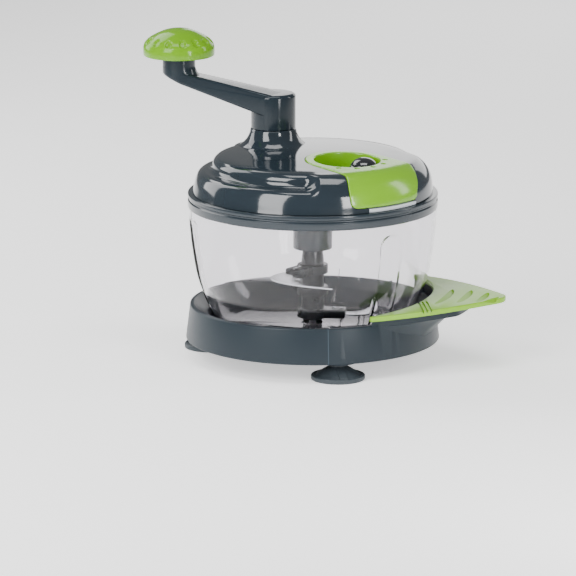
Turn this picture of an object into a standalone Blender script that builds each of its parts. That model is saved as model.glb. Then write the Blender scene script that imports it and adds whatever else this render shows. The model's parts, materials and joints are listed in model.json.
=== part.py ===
# Manual food chopper: a hand crank on the lid turns a large gear, which drives a
# small gear on the bowl's axis and, through a six sided socket, the blade shaft.
#
# The object stands on three suction cups on the plane z = 0. The leaf shaped handle
# points along +X. All lengths are in metres and all angles in degrees.
#
# Run with: blender --background --python part.py

import bmesh
import bpy
import math
from mathutils import Matrix, Vector

# Gaps, overruns and the fineness of round pieces

GAP = 0.0003                     # between pieces that touch or slide
PART_OVERRUN = 0.004             # how far a cutting solid runs past what it cuts
SINK = 0.0012                    # how far a rib or a boss runs into its wall
MERGE = 0.00001                  # points closer than this are one
LARGE_STEPS = 36                 # flat facets round the large turned pieces
MEDIUM_STEPS = 22                # round the crank hub, the knob and the finger well
SMALL_STEPS = 14                 # flat facets round the small turned pieces
TINY_STEPS = 6                   # flat facets round screws and pins
BEND_STEPS = 16                  # along a long bend
ARC_STEPS = 10                   # along a shorter bend
CORNER_STEPS = 4                 # round a corner
SMOOTH_DEG = 38.0
ROUND_SHARE = 0.3                # where a rounded edge has its middle point

# Places round the bowl's axis, seen from above

CUP_DEGS = (-60.0, 60.0, 180.0)
INSERT_DEG = -31.0               # the green insert and its tab
CRANK_DEG = 146.0                # the crank's axis, seen from the bowl's axis
ARM_DEG = 204.6                  # where the crank arm points at rest
FLUTE_DEGS = (-34.0, 86.0, 206.0)
SCREW_DEGS = (-88.0, 24.0, 86.0, 206.0)

# Base

BASE_FOOT_SPREAD = 0.0037
BASE_RIM_INSET = 0.0017
BASE_BOTTOM_Z = 0.0155
BASE_HEIGHT = 0.0300
BASE_WALL = 0.0024
BASE_EDGE = 0.0012
RIM_LAND = 0.0022
WELL_TOP_INSET = 0.0153
WELL_TOP_DROP = 0.0080
WELL_FOOT_INSET = 0.0233
WELL_FLOOR_RISE = 0.0071
WELL_CORNER = 0.0038
RIB_COUNT = 6
RIB_THICK = 0.0020
RIB_LIFT = 0.0015
CUP_INSET = 0.0170
PAD_R = 0.0200
PAD_DROP = 0.0010
PAD_TOP_DROP = 0.0008
PAD_EDGE = 0.0016

# Leaf shaped handle

LEAF_LAP = 0.0018
LEAF_START = 0.0009
LEAF_HALF_DEG = 46.0
LEAF_REACH = 0.0633
LEAF_TIP_R = 0.0100
LEAF_THICK = 0.0043
LEAF_ROOT_RISE = 0.0085          # its top face at its two ends
LEAF_TILT_DEG = 4.8
GROOVE_DEPTH = 0.0014
GROOVE_WIDTH = 0.0050
GROOVE_OUTS = (0.0143, 0.0308, 0.0463)
GROOVE_HALF_DEGS = (14.0, 9.5, 5.5)
RIDGE_DEG = 27.5
RIDGE_COUNT = 3
RIDGE_PITCH = 0.0034
RIDGE_SLOT = 0.0014
RIDGE_DEPTH = 0.0009
RIDGE_START = 0.0003
RIDGE_LENGTH = 0.0095
BRACKET_HALF_DEG = 44.0
BRACKET_INSET = 0.0060
BRACKET_REACH = 0.0347
BRACKET_DROP = 0.0195
BRACKET_DEPTH = 0.0050
BRACKET_BELLY_SHARE = 0.6        # how full its underside is halfway out
LEAF_SCREW_DEGS = (-14.0, 14.0)
LEAF_SCREW_OUT = 0.0107
LEAF_SCREW_R = 0.0015
LEAF_SCREW_HEAD_R = 0.0030
LEAF_SCREW_HEAD = 0.0018
LEAF_SCREW_BITE = 0.0026
LEAF_SCREW_LENGTH = 0.0120

# Suction cups

CUP_R = 0.0225
CUP_LIP = 0.0036
CUP_LIP_WIDTH = 0.0030
CUP_HOLLOW = 0.0042
CUP_SKIN = 0.0020
CUP_DOME_R = 0.0110
CUP_DOME_Z = 0.0092
CUP_STEM_R = 0.0070
CUP_STEM_RISE = 0.0030
CUP_TAB_WIDTH = 0.0060
CUP_TAB_HEIGHT = 0.0014

# Bowl

BOWL_WALL = 0.0023
BOWL_FLOOR = 0.0024
BOWL_FLOOR_RISE = 0.0026         # underside of its floor
BOWL_FOOT_INSET = 0.0403
BOWL_FOOT_WIDTH = 0.0040
BOWL_SIDE_INSETS = (0.0323, 0.0258, 0.0205, 0.0148, 0.0075, 0.0031, 0.0012, 0.0002)
BOWL_SIDE_SHARES = (             # of the bowl's height, at each inset
    0.006796, 0.036893, 0.100000, 0.211650, 0.415534, 0.658252, 0.823301, 0.925243)
BOWL_RIM_INSET = 0.0007
BOWL_HEIGHT = 0.1030
BOWL_LIP_INSET = 0.0014
BOWL_LIP_WALL = 0.0019
BOWL_LIP_HEIGHT = 0.0058
FLUTE_DEPTH = 0.0032
FLUTE_HALF_WIDTH = 0.0105
FLUTE_EDGE = 0.0028
FLUTE_STEP_SHARES = (-1.04, -0.92, -0.66, 0.66, 0.92, 1.04)
PLAIN_STEPS = 7                  # columns of facets between two flutes
BOSS_R = 0.0080
BOSS_RISE = 0.0035

# Pin and blades

PIN_R = 0.0030
PIN_DROP = 0.0047
SHAFT_R = 0.0095
SHAFT_NECK_R = 0.0082
SHAFT_HEAD = 0.0172
HEX_HALF = 0.0055                # half the width across the flats of the shaft's head
HEX_HEIGHT = 0.0143
BLADE_RISES = (0.0113, 0.0303, 0.0493)
BLADE_DEGS = (10.0, 130.0, 250.0)
BLADE_TIP_INSETS = (0.0333, 0.0243, 0.0203)
BLADE_THICK = 0.0012
BLADE_ROOT_WIDTH = 0.0120
BLADE_ROOT_R = 0.0140
EAR_REACH = 0.0280
EAR_WIDTH = 0.0160
EAR_HEIGHT = 0.0076
COLLAR_R = 0.0130
RIVET_R = 0.0015
RIVET_RADII = (0.0185, 0.0240)
BLADE_BACK_START = (0.0285, -0.0080)
BLADE_BACK_PULL_SHARES = (0.92, -0.20)
BLADE_EDGE_START = (0.0285, 0.0080)
BLADE_EDGE_PULL_SHARES = (0.66, 0.10)
BLADE_TIP_SHARES = (0.66, 0.75)
BLADE_STEPS = 11
BLADE_BEVEL_SHARE = 0.72
BLADE_END_SHARE = 0.965

# Lid: lower ring, tray and sleeve

RING_R = 0.1050
RING_ROOF = 0.0038
RING_GROOVE_DROP = 0.0046
RING_GROOVE = 0.0008
RING_GROOVE_HALF = 0.0010
RING_EDGE = 0.0007
RING_PLAY = 0.0008               # between the bowl's lip and the ring round it
SKIRT_PLAY = 0.0012              # between the lip and the skirt inside it
SKIRT_WALL = 0.0020
SKIRT_RISE = 0.0015
TRAY_THICK = 0.0024              # underside of the tray
SLEEVE_R = 0.0165
SLEEVE_BORE_R = 0.0133
GASKET_HEIGHT = 0.0020

# Lid: glossy cover

COVER_WALL = 0.0028
CROWN_SHARES = (0.0, 0.421053, 0.763158)     # of the radius where the sides start
CROWN_RISES = (0.0338, 0.0332, 0.0321)
STEPPED_SIDE_STEPS = (           # inset and rise where the top stands back behind a ledge
    (0.0290, 0.0310),
    (0.0246, 0.0298),
    (0.0216, 0.0266),
    (0.0204, 0.0218),
    (0.0184, 0.0196),
    (0.0130, 0.0188),
    (0.0094, 0.0170),
    (0.0068, 0.0121),
    (0.0040, 0.0003),
)
FULL_SIDE_STEPS = (              # inset and rise where the top runs out to the wall
    (0.0290, 0.0310),
    (0.0210, 0.0302),
    (0.0168, 0.0286),
    (0.0135, 0.0260),
    (0.0105, 0.0226),
    (0.0082, 0.0188),
    (0.0066, 0.0146),
    (0.0052, 0.0091),
    (0.0040, 0.0003),
)
FULL_HALF_DEG = 36.0             # half the sector with the full side
SWEEP_DEG = 10.0                 # over which one side flows into the other
SWEEP_STEPS = 3
COVER_STEP_DEG = 14.0
HOLLOW_SKIP = 3                  # the inside follows every third point of the outside
LID_BOSS_RISE = 0.0466
LID_BOSS_R = 0.0193
LID_BOSS_FOOT_R = 0.0292
LID_BOSS_FOOT_RISE = 0.0314
LID_BOSS_WAIST_SHARES = ((0.62, 0.18), (0.30, 0.42), (0.10, 0.70))
BOSS_SKIRT_RISE = 0.0292
TUBE_R = 0.0140
TUBE_RISE = 0.0196
CENTRE_BOSS_R = 0.0080
CENTRE_BOSS_RISE = 0.0100
CENTRE_BOSS_DEPTH = 0.0130
SCREW_INSET = 0.0160
SCREW_BOSS_R = 0.0040
SCREW_BOSS_RISE = 0.0172
SCREW_R = 0.0014
SCREW_HEAD_R = 0.0030
SCREW_HEAD = 0.0018
SCREW_BITE = 0.0110

# Green insert with the finger well and its tab

INSERT_PROUD = 0.0005
INSERT_THICK = 0.0017
INSERT_RIM = 0.0075
INSERT_OUT_HALF = 0.0400
INSERT_OUT_INSET = 0.0150
TAB_RISE = 0.0049
TAB_BOTTOM_HALF = 0.0340
TAB_CORNER = 0.0055
WELL_AT_SHARE = 0.4              # the well's centre, out from the axis
WELL_R = 0.0275
WELL_WALL = 0.0017
WELL_CUP_RISE = 0.0196           # its floor
WELL_EDGE = 0.0030
DIMPLE_COUNT = 5
DIMPLE_STEP_DEG = 27.7
DIMPLE_OUT = 0.0045
DIMPLE_R = 0.0014
DIMPLE_DEPTH = 0.0008

# Release button in the well, its spring and the tongue under the tab

BUTTON_BEYOND = 0.0080
BUTTON_ASIDE = 0.0115
BUTTON_R = 0.0120
BUTTON_DOME = 0.0089
BUTTON_SIDE_RISE = 0.0040
BUTTON_FLANGE = 0.0020
BUTTON_FLANGE_THICK = 0.0020
BUTTON_STEM_R = 0.0050
BUTTON_STEM_RISE = 0.0096
SPRING_R = 0.0036
SPRING_WIRE_R = 0.0005
SPRING_TURNS = 4
SPRING_TURN_STEPS = 8
SPRING_SIDES = 4
SPRING_POST_R = 0.0024
SPRING_POST_RISE = 0.0044
TONGUE_INSET = 0.0031
TONGUE_BACK_INSET = 0.0210
TONGUE_HALF = 0.0260
TONGUE_THICK = 0.0030
TONGUE_STEPS = 8

# Gears

DRIVE_TEETH = 40
PINION_TEETH = 20
PRESSURE_DEG = 20.0
BACKLASH = 0.00034               # taken off the thickness of every tooth
ADDENDUM_SHARE = 0.95
DEDENDUM_SHARE = 1.25
FLANK_STEPS = 2
GEAR_RISE = 0.0016
GEAR_FACE = 0.0062
GEAR_HUB_R = 0.0130
GEAR_HUB_HEIGHT = 0.0080
GEAR_HOLES = 6
GEAR_HOLE_SHARE = 0.177143       # of the gear's pitch radius
GEAR_HOLE_CIRCLE_SHARE = 0.642857
PINION_TUBE_R = 0.0128
PINION_TUBE_RISE = 0.0015
PINION_FLANGE_R = 0.0160
PINION_STUB_R = 0.0050
PINION_STUB_RISE = 0.0160
SOCKET_HEADROOM = 0.0020

# Crank

SPINDLE_R = 0.0072
SPINDLE_HEX_HALF = 0.0060
SPINDLE_FLANGE_R = 0.0098
SPINDLE_FLANGE_RISE = 0.0005
SPINDLE_FLANGE = 0.0020
SPINDLE_DROP = 0.0050
SPINDLE_PLAY = 0.0005
BUSH_R = 0.0102
BUSH_FLANGE_R = 0.0130
BUSH_FLANGE = 0.0020
GEAR_SCREW_R = 0.0022
GEAR_SCREW_HEAD_R = 0.0090
GEAR_SCREW_HEAD = 0.0010
GEAR_SCREW_LENGTH = 0.0130
HUB_R = 0.0189
HUB_HEIGHT = 0.0297
HUB_EDGE = 0.0030
THROW = 0.0800
ARM_HUB_HALF = 0.0165
ARM_POST_R = 0.0137
ARM_TOP_SLOPE_DEG = 15.8
ARM_HUB_THICK = 0.0170           # its underside where it leaves the hub
ARM_UNDER_SLOPE_DEG = 23.8
ARM_EDGE = 0.0022
EDGE_SEGMENTS = 2
ARM_STEPS = 12
POST_RISE = 0.0336
KNOB_PIN_R = 0.0030
KNOB_PIN_HOLE_DEPTH = 0.0186
KNOB_PIN_HEAD_R = 0.0052
KNOB_PIN_HEAD = 0.0022

# Knob

KNOB_LIFT = 0.0004
KNOB_SIDE_STEPS = (              # radius and rise up the outside
    (0.0298, 0.0000),
    (0.0301, 0.0040),
    (0.0299, 0.0075),
    (0.0290, 0.0104),
    (0.0262, 0.0138),
    (0.0205, 0.0174),
    (0.0120, 0.0212),
    (0.0055, 0.0226),
    (0.0000, 0.0230),
)
KNOB_WALL = 0.0026
KNOB_WEB_RISE = 0.0050
KNOB_SLEEVE_R = 0.0070
KNOB_SLEEVE_RISE = 0.0106
KNOB_DIMPLES = 12
KNOB_DIMPLE_R = 0.0034
KNOB_DIMPLE_CIRCLE_R = 0.0282
KNOB_DIMPLE_RISE = 0.0162

# Radii worked out from the lid's ring, the widest of the round pieces

BOWL_RIM_R = RING_R - BOWL_RIM_INSET
BOWL_LIP_R = BOWL_RIM_R - BOWL_LIP_INSET
BOWL_FOOT_R = BOWL_RIM_R - BOWL_FOOT_INSET
BASE_RIM_R = RING_R - BASE_RIM_INSET
BASE_FOOT_R = BASE_RIM_R + BASE_FOOT_SPREAD
WELL_TOP_R = BASE_RIM_R - WELL_TOP_INSET
WELL_FOOT_R = BASE_RIM_R - WELL_FOOT_INSET
CUP_CIRCLE_R = BASE_FOOT_R - CUP_INSET
LEAF_INNER_R = BASE_RIM_R - LEAF_LAP
LEAF_START_R = BASE_RIM_R + LEAF_START
LEAF_TIP_X = LEAF_START_R + LEAF_REACH
GROOVE_RADII = tuple(LEAF_START_R + out for out in GROOVE_OUTS)
RIDGE_IN_R = LEAF_START_R + RIDGE_START
RIDGE_OUT_R = RIDGE_IN_R + RIDGE_LENGTH
BRACKET_REACH_R = BASE_RIM_R + BRACKET_REACH
LEAF_SCREW_CIRCLE_R = BASE_RIM_R + LEAF_SCREW_OUT
BLADE_REACHES = tuple(BOWL_RIM_R - inset for inset in BLADE_TIP_INSETS)
SCREW_CIRCLE_R = RING_R - SCREW_INSET
INSERT_OUT = RING_R - INSERT_OUT_INSET
INSERT_END_R = WELL_R + INSERT_RIM
DIMPLE_CIRCLE_R = WELL_R + DIMPLE_OUT
WELL_AT = RING_R * WELL_AT_SHARE
BUTTON_OUT = WELL_AT + BUTTON_BEYOND
TONGUE_OUT_R = RING_R - TONGUE_INSET
TONGUE_BACK = RING_R - TONGUE_BACK_INSET
GEAR_MODULE = RING_R / (DRIVE_TEETH + PINION_TEETH)
GEAR_HOLE_R = GEAR_MODULE * DRIVE_TEETH * GEAR_HOLE_SHARE / 2.0
GEAR_HOLE_CIRCLE_R = GEAR_MODULE * DRIVE_TEETH * GEAR_HOLE_CIRCLE_SHARE / 2.0

# Heights, each from the piece that it stands on

BASE_TOP_Z = BASE_BOTTOM_Z + BASE_HEIGHT
PAD_BOTTOM_Z = BASE_BOTTOM_Z - PAD_DROP
WELL_FLOOR_Z = BASE_BOTTOM_Z + WELL_FLOOR_RISE
PAD_TOP_Z = WELL_FLOOR_Z - PAD_TOP_DROP
WELL_TOP_Z = BASE_TOP_Z - WELL_TOP_DROP
CUP_STEM_TOP_Z = BASE_BOTTOM_Z + CUP_STEM_RISE
LEAF_ROOT_Z = BASE_TOP_Z + LEAF_ROOT_RISE
BRACKET_FOOT_Z = BASE_TOP_Z - BRACKET_DROP
BOWL_FLOOR_Z = WELL_FLOOR_Z + BOWL_FLOOR_RISE
BOWL_SHOULDER_Z = BOWL_FLOOR_Z + BOWL_HEIGHT
BOWL_LIP_Z = BOWL_SHOULDER_Z + BOWL_LIP_HEIGHT
BOWL_SIDE = tuple((BOWL_RIM_R - inset, BOWL_FLOOR_Z + BOWL_HEIGHT * share)
                  for inset, share in zip(BOWL_SIDE_INSETS, BOWL_SIDE_SHARES))
FLUTE_TOP_Z = BOWL_SIDE[-1][1]
BLADE_LEVELS = tuple(BOWL_FLOOR_Z + rise for rise in BLADE_RISES)
SHAFT_TOP_Z = BLADE_LEVELS[-1] + SHAFT_HEAD
HEX_TOP_Z = SHAFT_TOP_Z + HEX_HEIGHT
PIN_TOP_Z = SHAFT_TOP_Z - PIN_DROP
RING_BOTTOM_Z = BOWL_SHOULDER_Z + GAP
SKIRT_Z = RING_BOTTOM_Z + SKIRT_RISE
CHANNEL_TOP_Z = BOWL_LIP_Z + GASKET_HEIGHT + GAP * 2.0
RING_TOP_Z = CHANNEL_TOP_Z + RING_ROOF
TRAY_Z = RING_TOP_Z - TRAY_THICK
RING_GROOVE_Z = RING_TOP_Z - RING_GROOVE_DROP
SLEEVE_BOTTOM_Z = SHAFT_TOP_Z + GAP
PINION_TUBE_Z = SLEEVE_BOTTOM_Z + PINION_TUBE_RISE
SOCKET_TOP_Z = HEX_TOP_Z + SOCKET_HEADROOM
GEAR_BOTTOM_Z = RING_TOP_Z + GEAR_RISE
GEAR_HUB_TOP_Z = GEAR_BOTTOM_Z + GEAR_HUB_HEIGHT
PINION_STUB_TOP_Z = GEAR_BOTTOM_Z + PINION_STUB_RISE
SPINDLE_FLANGE_Z = GEAR_HUB_TOP_Z + SPINDLE_FLANGE_RISE
CENTRE_BOSS_Z = GEAR_BOTTOM_Z + CENTRE_BOSS_RISE
SCREW_BOSS_TOP_Z = RING_TOP_Z + SCREW_BOSS_RISE
FULL_SIDE = tuple((RING_R - inset, RING_TOP_Z + rise) for inset, rise in FULL_SIDE_STEPS)
STEPPED_SIDE = tuple((RING_R - inset, RING_TOP_Z + rise)
                     for inset, rise in STEPPED_SIDE_STEPS)
CROWN = tuple((FULL_SIDE[0][0] * share, RING_TOP_Z + rise)
              for share, rise in zip(CROWN_SHARES, CROWN_RISES))
LID_BOSS_TOP_Z = RING_TOP_Z + LID_BOSS_RISE
LID_BOSS_FOOT_Z = RING_TOP_Z + LID_BOSS_FOOT_RISE
BOSS_SKIRT_Z = RING_TOP_Z + BOSS_SKIRT_RISE
TUBE_BOTTOM_Z = RING_TOP_Z + TUBE_RISE
TAB_BOTTOM_Z = RING_TOP_Z + TAB_RISE
WELL_CUP_Z = RING_TOP_Z + WELL_CUP_RISE
BUTTON_SIDE_Z = WELL_CUP_Z + BUTTON_SIDE_RISE
BUTTON_TOP_Z = BUTTON_SIDE_Z + BUTTON_DOME
BUTTON_STEM_Z = RING_TOP_Z + BUTTON_STEM_RISE
SPRING_POST_TOP_Z = RING_TOP_Z + SPRING_POST_RISE
SPINDLE_SHOULDER_Z = LID_BOSS_TOP_Z
HUB_BOTTOM_Z = LID_BOSS_TOP_Z + GAP
HUB_TOP_Z = HUB_BOTTOM_Z + HUB_HEIGHT
SPINDLE_TOP_Z = HUB_TOP_Z - SPINDLE_DROP
ARM_UNDER_Z = HUB_TOP_Z - ARM_HUB_THICK
POST_TOP_Z = HUB_TOP_Z + POST_RISE
KNOB_PIN_HOLE_Z = POST_TOP_Z - KNOB_PIN_HOLE_DEPTH
KNOB_BOTTOM_Z = POST_TOP_Z + KNOB_LIFT
KNOB_WEB_Z = KNOB_BOTTOM_Z + KNOB_WEB_RISE
KNOB_SLEEVE_TOP_Z = KNOB_BOTTOM_Z + KNOB_SLEEVE_RISE
KNOB_DIMPLE_Z = KNOB_BOTTOM_Z + KNOB_DIMPLE_RISE
KNOB_SIDE = tuple((radius, KNOB_BOTTOM_Z + rise) for radius, rise in KNOB_SIDE_STEPS)

# Other sizes worked out from the ones above

CENTRES = GEAR_MODULE * (DRIVE_TEETH + PINION_TEETH) / 2.0
KNOB_OUT_R = max(radius for radius, height in KNOB_SIDE)
CRANK_X = CENTRES * math.cos(math.radians(CRANK_DEG))
CRANK_Y = CENTRES * math.sin(math.radians(CRANK_DEG))
KNOB_X = CRANK_X + THROW * math.cos(math.radians(ARM_DEG))
AXIS_X = -(LEAF_TIP_X + KNOB_X - KNOB_OUT_R) / 2.0
LEAF_SLOPE = math.tan(math.radians(LEAF_TILT_DEG))
LEAF_ROOT_X = LEAF_START_R * math.cos(math.radians(LEAF_HALF_DEG))
BOWL_FLOOR_TOP_Z = BOWL_FLOOR_Z + BOWL_FLOOR

# Colour, roughness, metallic value and alpha of each finish

FINISHES = {
    "slate": ((0.075, 0.095, 0.118), 0.42, 0.0, 1.0),
    "gloss_slate": ((0.060, 0.075, 0.092), 0.12, 0.0, 1.0),
    "lime": ((0.36, 0.62, 0.035), 0.30, 0.0, 1.0),
    "clear": ((0.86, 0.85, 0.90), 0.06, 0.0, 0.30),
    "steel": ((0.62, 0.63, 0.65), 0.22, 1.0, 1.0),
    "rubber": ((0.060, 0.075, 0.090), 0.65, 0.0, 1.0),
    "seal": ((0.52, 0.55, 0.58), 0.60, 0.0, 1.0),
    "black": ((0.020, 0.022, 0.026), 0.20, 0.0, 1.0),
    "pale": ((0.70, 0.74, 0.78), 0.35, 0.0, 1.0),
    "white": ((0.82, 0.82, 0.79), 0.40, 0.0, 1.0),
}


# Basic tools

def polar(radius, degrees, height=0.0):
    angle = math.radians(degrees)
    return Vector((radius * math.cos(angle), radius * math.sin(angle), height))


def finish_of(name):
    material = bpy.data.materials.get(name)
    if material is None:
        colour, roughness, metallic, alpha = FINISHES[name]
        material = bpy.data.materials.new(name)
        material.use_nodes = True
        shader = material.node_tree.nodes["Principled BSDF"]
        shader.inputs["Base Color"].default_value = (*colour, 1.0)
        shader.inputs["Roughness"].default_value = roughness
        shader.inputs["Metallic"].default_value = metallic
        shader.inputs["Alpha"].default_value = alpha
    return material


def empty(name, place, parent=None, turn_deg=0.0):
    marker = bpy.data.objects.new(name, None)
    bpy.context.scene.collection.objects.link(marker)
    marker.parent = parent
    marker.location = place
    marker.rotation_euler = (0.0, 0.0, math.radians(turn_deg))
    return marker


def closed(bm):
    bmesh.ops.remove_doubles(bm, verts=bm.verts, dist=MERGE)
    bmesh.ops.recalc_face_normals(bm, faces=bm.faces)
    return bm


def piece(name, bm, finish, parent):
    mesh = bpy.data.meshes.new(name)
    bm.to_mesh(mesh)
    bm.free()
    mesh.shade_smooth()
    mesh.set_sharp_from_angle(angle=math.radians(SMOOTH_DEG))
    mesh.materials.append(finish_of(finish))
    solid = bpy.data.objects.new(name, mesh)
    bpy.context.scene.collection.objects.link(solid)
    solid.parent = parent
    return solid


def helper(name, bm, parent):
    guide = piece(name, bm, "slate", parent)
    guide.hide_render = True
    guide.display_type = "WIRE"
    return guide


def combine(target, tool, operation):
    """Join or cut with a tool, then split the faces so that each stays flat."""
    modifier = target.modifiers.new(tool.name, "BOOLEAN")
    modifier.operation = operation
    modifier.object = tool
    weld = target.modifiers.new("weld", "WELD")
    weld.merge_threshold = MERGE
    target.modifiers.new("flat_faces", "TRIANGULATE")
    return target


def cut(target, tool):
    return combine(target, tool, "DIFFERENCE")


def fuse(target, tool):
    return combine(target, tool, "UNION")


def trim(target, tool):
    return combine(target, tool, "INTERSECT")


def turned(profile, steps, centre=(0.0, 0.0), ring=True):
    """Turn a profile of (radius, height) points about a vertical axis."""
    bm = bmesh.new()
    points = [bm.verts.new((radius, 0.0, height)) for radius, height in profile]
    pairs = list(zip(points, points[1:]))
    if ring:
        pairs.append((points[-1], points[0]))
    edges = [bm.edges.new(pair) for pair in pairs]
    bmesh.ops.spin(
        bm, geom=points + edges, cent=(0.0, 0.0, 0.0), axis=(0.0, 0.0, 1.0),
        angle=math.tau, steps=steps, use_merge=True,
    )
    bmesh.ops.translate(bm, verts=bm.verts, vec=(centre[0], centre[1], 0.0))
    return closed(bm)


def rod(radius, low, high, steps, centre=(0.0, 0.0)):
    return turned([(0.0, high), (radius, high), (radius, low), (0.0, low)], steps, centre, False)


def prism(outline, low, high):
    """Raise a flat outline of (x, y) points from one height to another."""
    bm = bmesh.new()
    floor = bm.faces.new([bm.verts.new((x, y, low)) for x, y in outline])
    raised = bmesh.ops.extrude_face_region(bm, geom=[floor])["geom"]
    tops = [item for item in raised if isinstance(item, bmesh.types.BMVert)]
    bmesh.ops.translate(bm, verts=tops, vec=(0.0, 0.0, high - low))
    return closed(bm)


def skinned(sections, wrap):
    """Skin a row of closed sections; wrap joins the last to the first."""
    bm = bmesh.new()
    rings = [[bm.verts.new(point) for point in section] for section in sections]
    count = len(rings[0])
    followers = rings[1:] + ([rings[0]] if wrap else [])
    for ring, following in zip(rings, followers):
        for at in range(count):
            after = (at + 1) % count
            bm.faces.new((ring[at], ring[after], following[after], following[at]))
    if not wrap:
        bm.faces.new(rings[0])
        bm.faces.new(rings[-1])
    bmesh.ops.remove_doubles(bm, verts=bm.verts, dist=MERGE)
    bmesh.ops.dissolve_degenerate(bm, edges=bm.edges, dist=MERGE)
    return closed(bm)


def turn_bm(bm, degrees):
    bmesh.ops.rotate(bm, verts=bm.verts, cent=(0.0, 0.0, 0.0),
                     matrix=Matrix.Rotation(math.radians(degrees), 3, "Z"))
    return bm


def hexagon(half, low, high):
    corner = half / math.cos(math.radians(30.0))
    outline = [polar(corner, 60.0 * side).xy for side in range(6)]
    return prism(outline, low, high)


def pour_in(bm, other):
    """Add a loose closed body to a mesh that holds several."""
    mesh = bpy.data.meshes.new("loose")
    other.to_mesh(mesh)
    other.free()
    bm.from_mesh(mesh)
    bpy.data.meshes.remove(mesh)
    return bm


def group(bodies):
    bm = bmesh.new()
    for body in bodies:
        pour_in(bm, body)
    return bm


def inner_line(points, depth):
    """The line that lies a wall's depth inside a side that runs outwards and down."""
    shifted = []
    for at, (radius, height) in enumerate(points):
        before = points[max(at - 1, 0)]
        after = points[min(at + 1, len(points) - 1)]
        along = Vector((after[0] - before[0], after[1] - before[1])).normalized()
        shifted.append((radius + along.y * depth, height - along.x * depth))
    return shifted


# Base

def base_outside():
    """The base's upper skin as (radius, height), from the foot of the wall inwards."""
    return [
        (BASE_FOOT_R, BASE_BOTTOM_Z),
        (BASE_RIM_R, BASE_TOP_Z - BASE_EDGE),
        (BASE_RIM_R - BASE_EDGE, BASE_TOP_Z),
        (BASE_RIM_R - BASE_EDGE - RIM_LAND, BASE_TOP_Z),
        (WELL_TOP_R, WELL_TOP_Z),
        (WELL_FOOT_R + WELL_CORNER, WELL_FLOOR_Z + WELL_CORNER),
        (WELL_FOOT_R, WELL_FLOOR_Z),
    ]


def base_inside():
    return [
        (BASE_FOOT_R - BASE_WALL, BASE_BOTTOM_Z),
        (BASE_RIM_R - BASE_WALL, BASE_TOP_Z - BASE_WALL),
        (BASE_RIM_R - BASE_WALL - RIM_LAND, BASE_TOP_Z - BASE_WALL),
        (WELL_TOP_R, WELL_TOP_Z - BASE_WALL),
        (WELL_FOOT_R + WELL_CORNER, WELL_FLOOR_Z + WELL_CORNER - BASE_WALL),
        (WELL_FOOT_R, WELL_FLOOR_Z - BASE_WALL),
    ]


def rib_bodies():
    """Ribs under the base between the outer wall and the well's wall."""
    half = BASE_WALL / 2.0
    foot = BASE_BOTTOM_Z + RIB_LIFT
    outline = [
        (BASE_FOOT_R - half, foot),
        (BASE_RIM_R - half, BASE_TOP_Z - half),
        (BASE_RIM_R - half - RIM_LAND, BASE_TOP_Z - half),
        (WELL_TOP_R, WELL_TOP_Z - half),
        (WELL_FOOT_R + WELL_CORNER, WELL_FLOOR_Z + WELL_CORNER - half),
        (WELL_FOOT_R, WELL_FLOOR_Z - half),
        (WELL_FOOT_R, foot),
    ]
    for number in range(RIB_COUNT):
        sections = []
        for side in (-RIB_THICK / 2.0, RIB_THICK / 2.0):
            sections.append([Vector((radius, side, height)) for radius, height in outline])
        yield turn_bm(skinned(sections, False), 360.0 * (number + 0.5) / RIB_COUNT)


def leaf_edge_r(degrees):
    """How far the leaf's straight edge lies from the axis in one direction."""
    start = polar(LEAF_START_R, LEAF_HALF_DEG).xy
    tip = Vector((LEAF_TIP_X - LEAF_TIP_R, 0.0))
    span = tip - start
    lean = math.acos(LEAF_TIP_R / span.length)
    toward = math.atan2(-span.y, -span.x)
    touch = tip + Vector((math.cos(toward - lean), math.sin(toward - lean))) * LEAF_TIP_R
    edge = touch - start
    ray = polar(1.0, abs(degrees)).xy
    across = ray.x * edge.y - ray.y * edge.x
    return (start.x * edge.y - start.y * edge.x) / across


def leaf_under_z(x):
    return LEAF_ROOT_Z - LEAF_THICK + (x - LEAF_ROOT_X) * LEAF_SLOPE


def bracket_body():
    """The bracket that runs out of the base's wall under the leaf."""
    sections = []
    inner = BASE_RIM_R - BASE_WALL / 2.0
    for step in range(ARC_STEPS + 1):
        degrees = BRACKET_HALF_DEG * (2.0 * step / ARC_STEPS - 1.0)
        reach = min(leaf_edge_r(degrees) - BRACKET_INSET, BRACKET_REACH_R)
        reach = max(reach, BASE_RIM_R)
        top_in = leaf_under_z(inner * math.cos(math.radians(degrees))) - GAP
        top_out = leaf_under_z(reach * math.cos(math.radians(degrees))) - GAP
        swell = (reach - BASE_RIM_R) / (BRACKET_REACH_R - BASE_RIM_R)
        foot = BASE_TOP_Z - BASE_EDGE - (BASE_TOP_Z - BRACKET_FOOT_Z) * math.sqrt(swell)
        lip = max(top_out - BRACKET_DEPTH, foot)
        belly = foot + (lip - foot) * BRACKET_BELLY_SHARE
        sections.append([
            polar(inner, degrees, foot),
            polar(BASE_RIM_R, degrees, foot),
            polar((BASE_RIM_R + reach) / 2.0, degrees, belly),
            polar(reach, degrees, lip),
            polar(reach, degrees, top_out),
            polar(inner, degrees, top_in),
        ])
    return skinned(sections, False)


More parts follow.
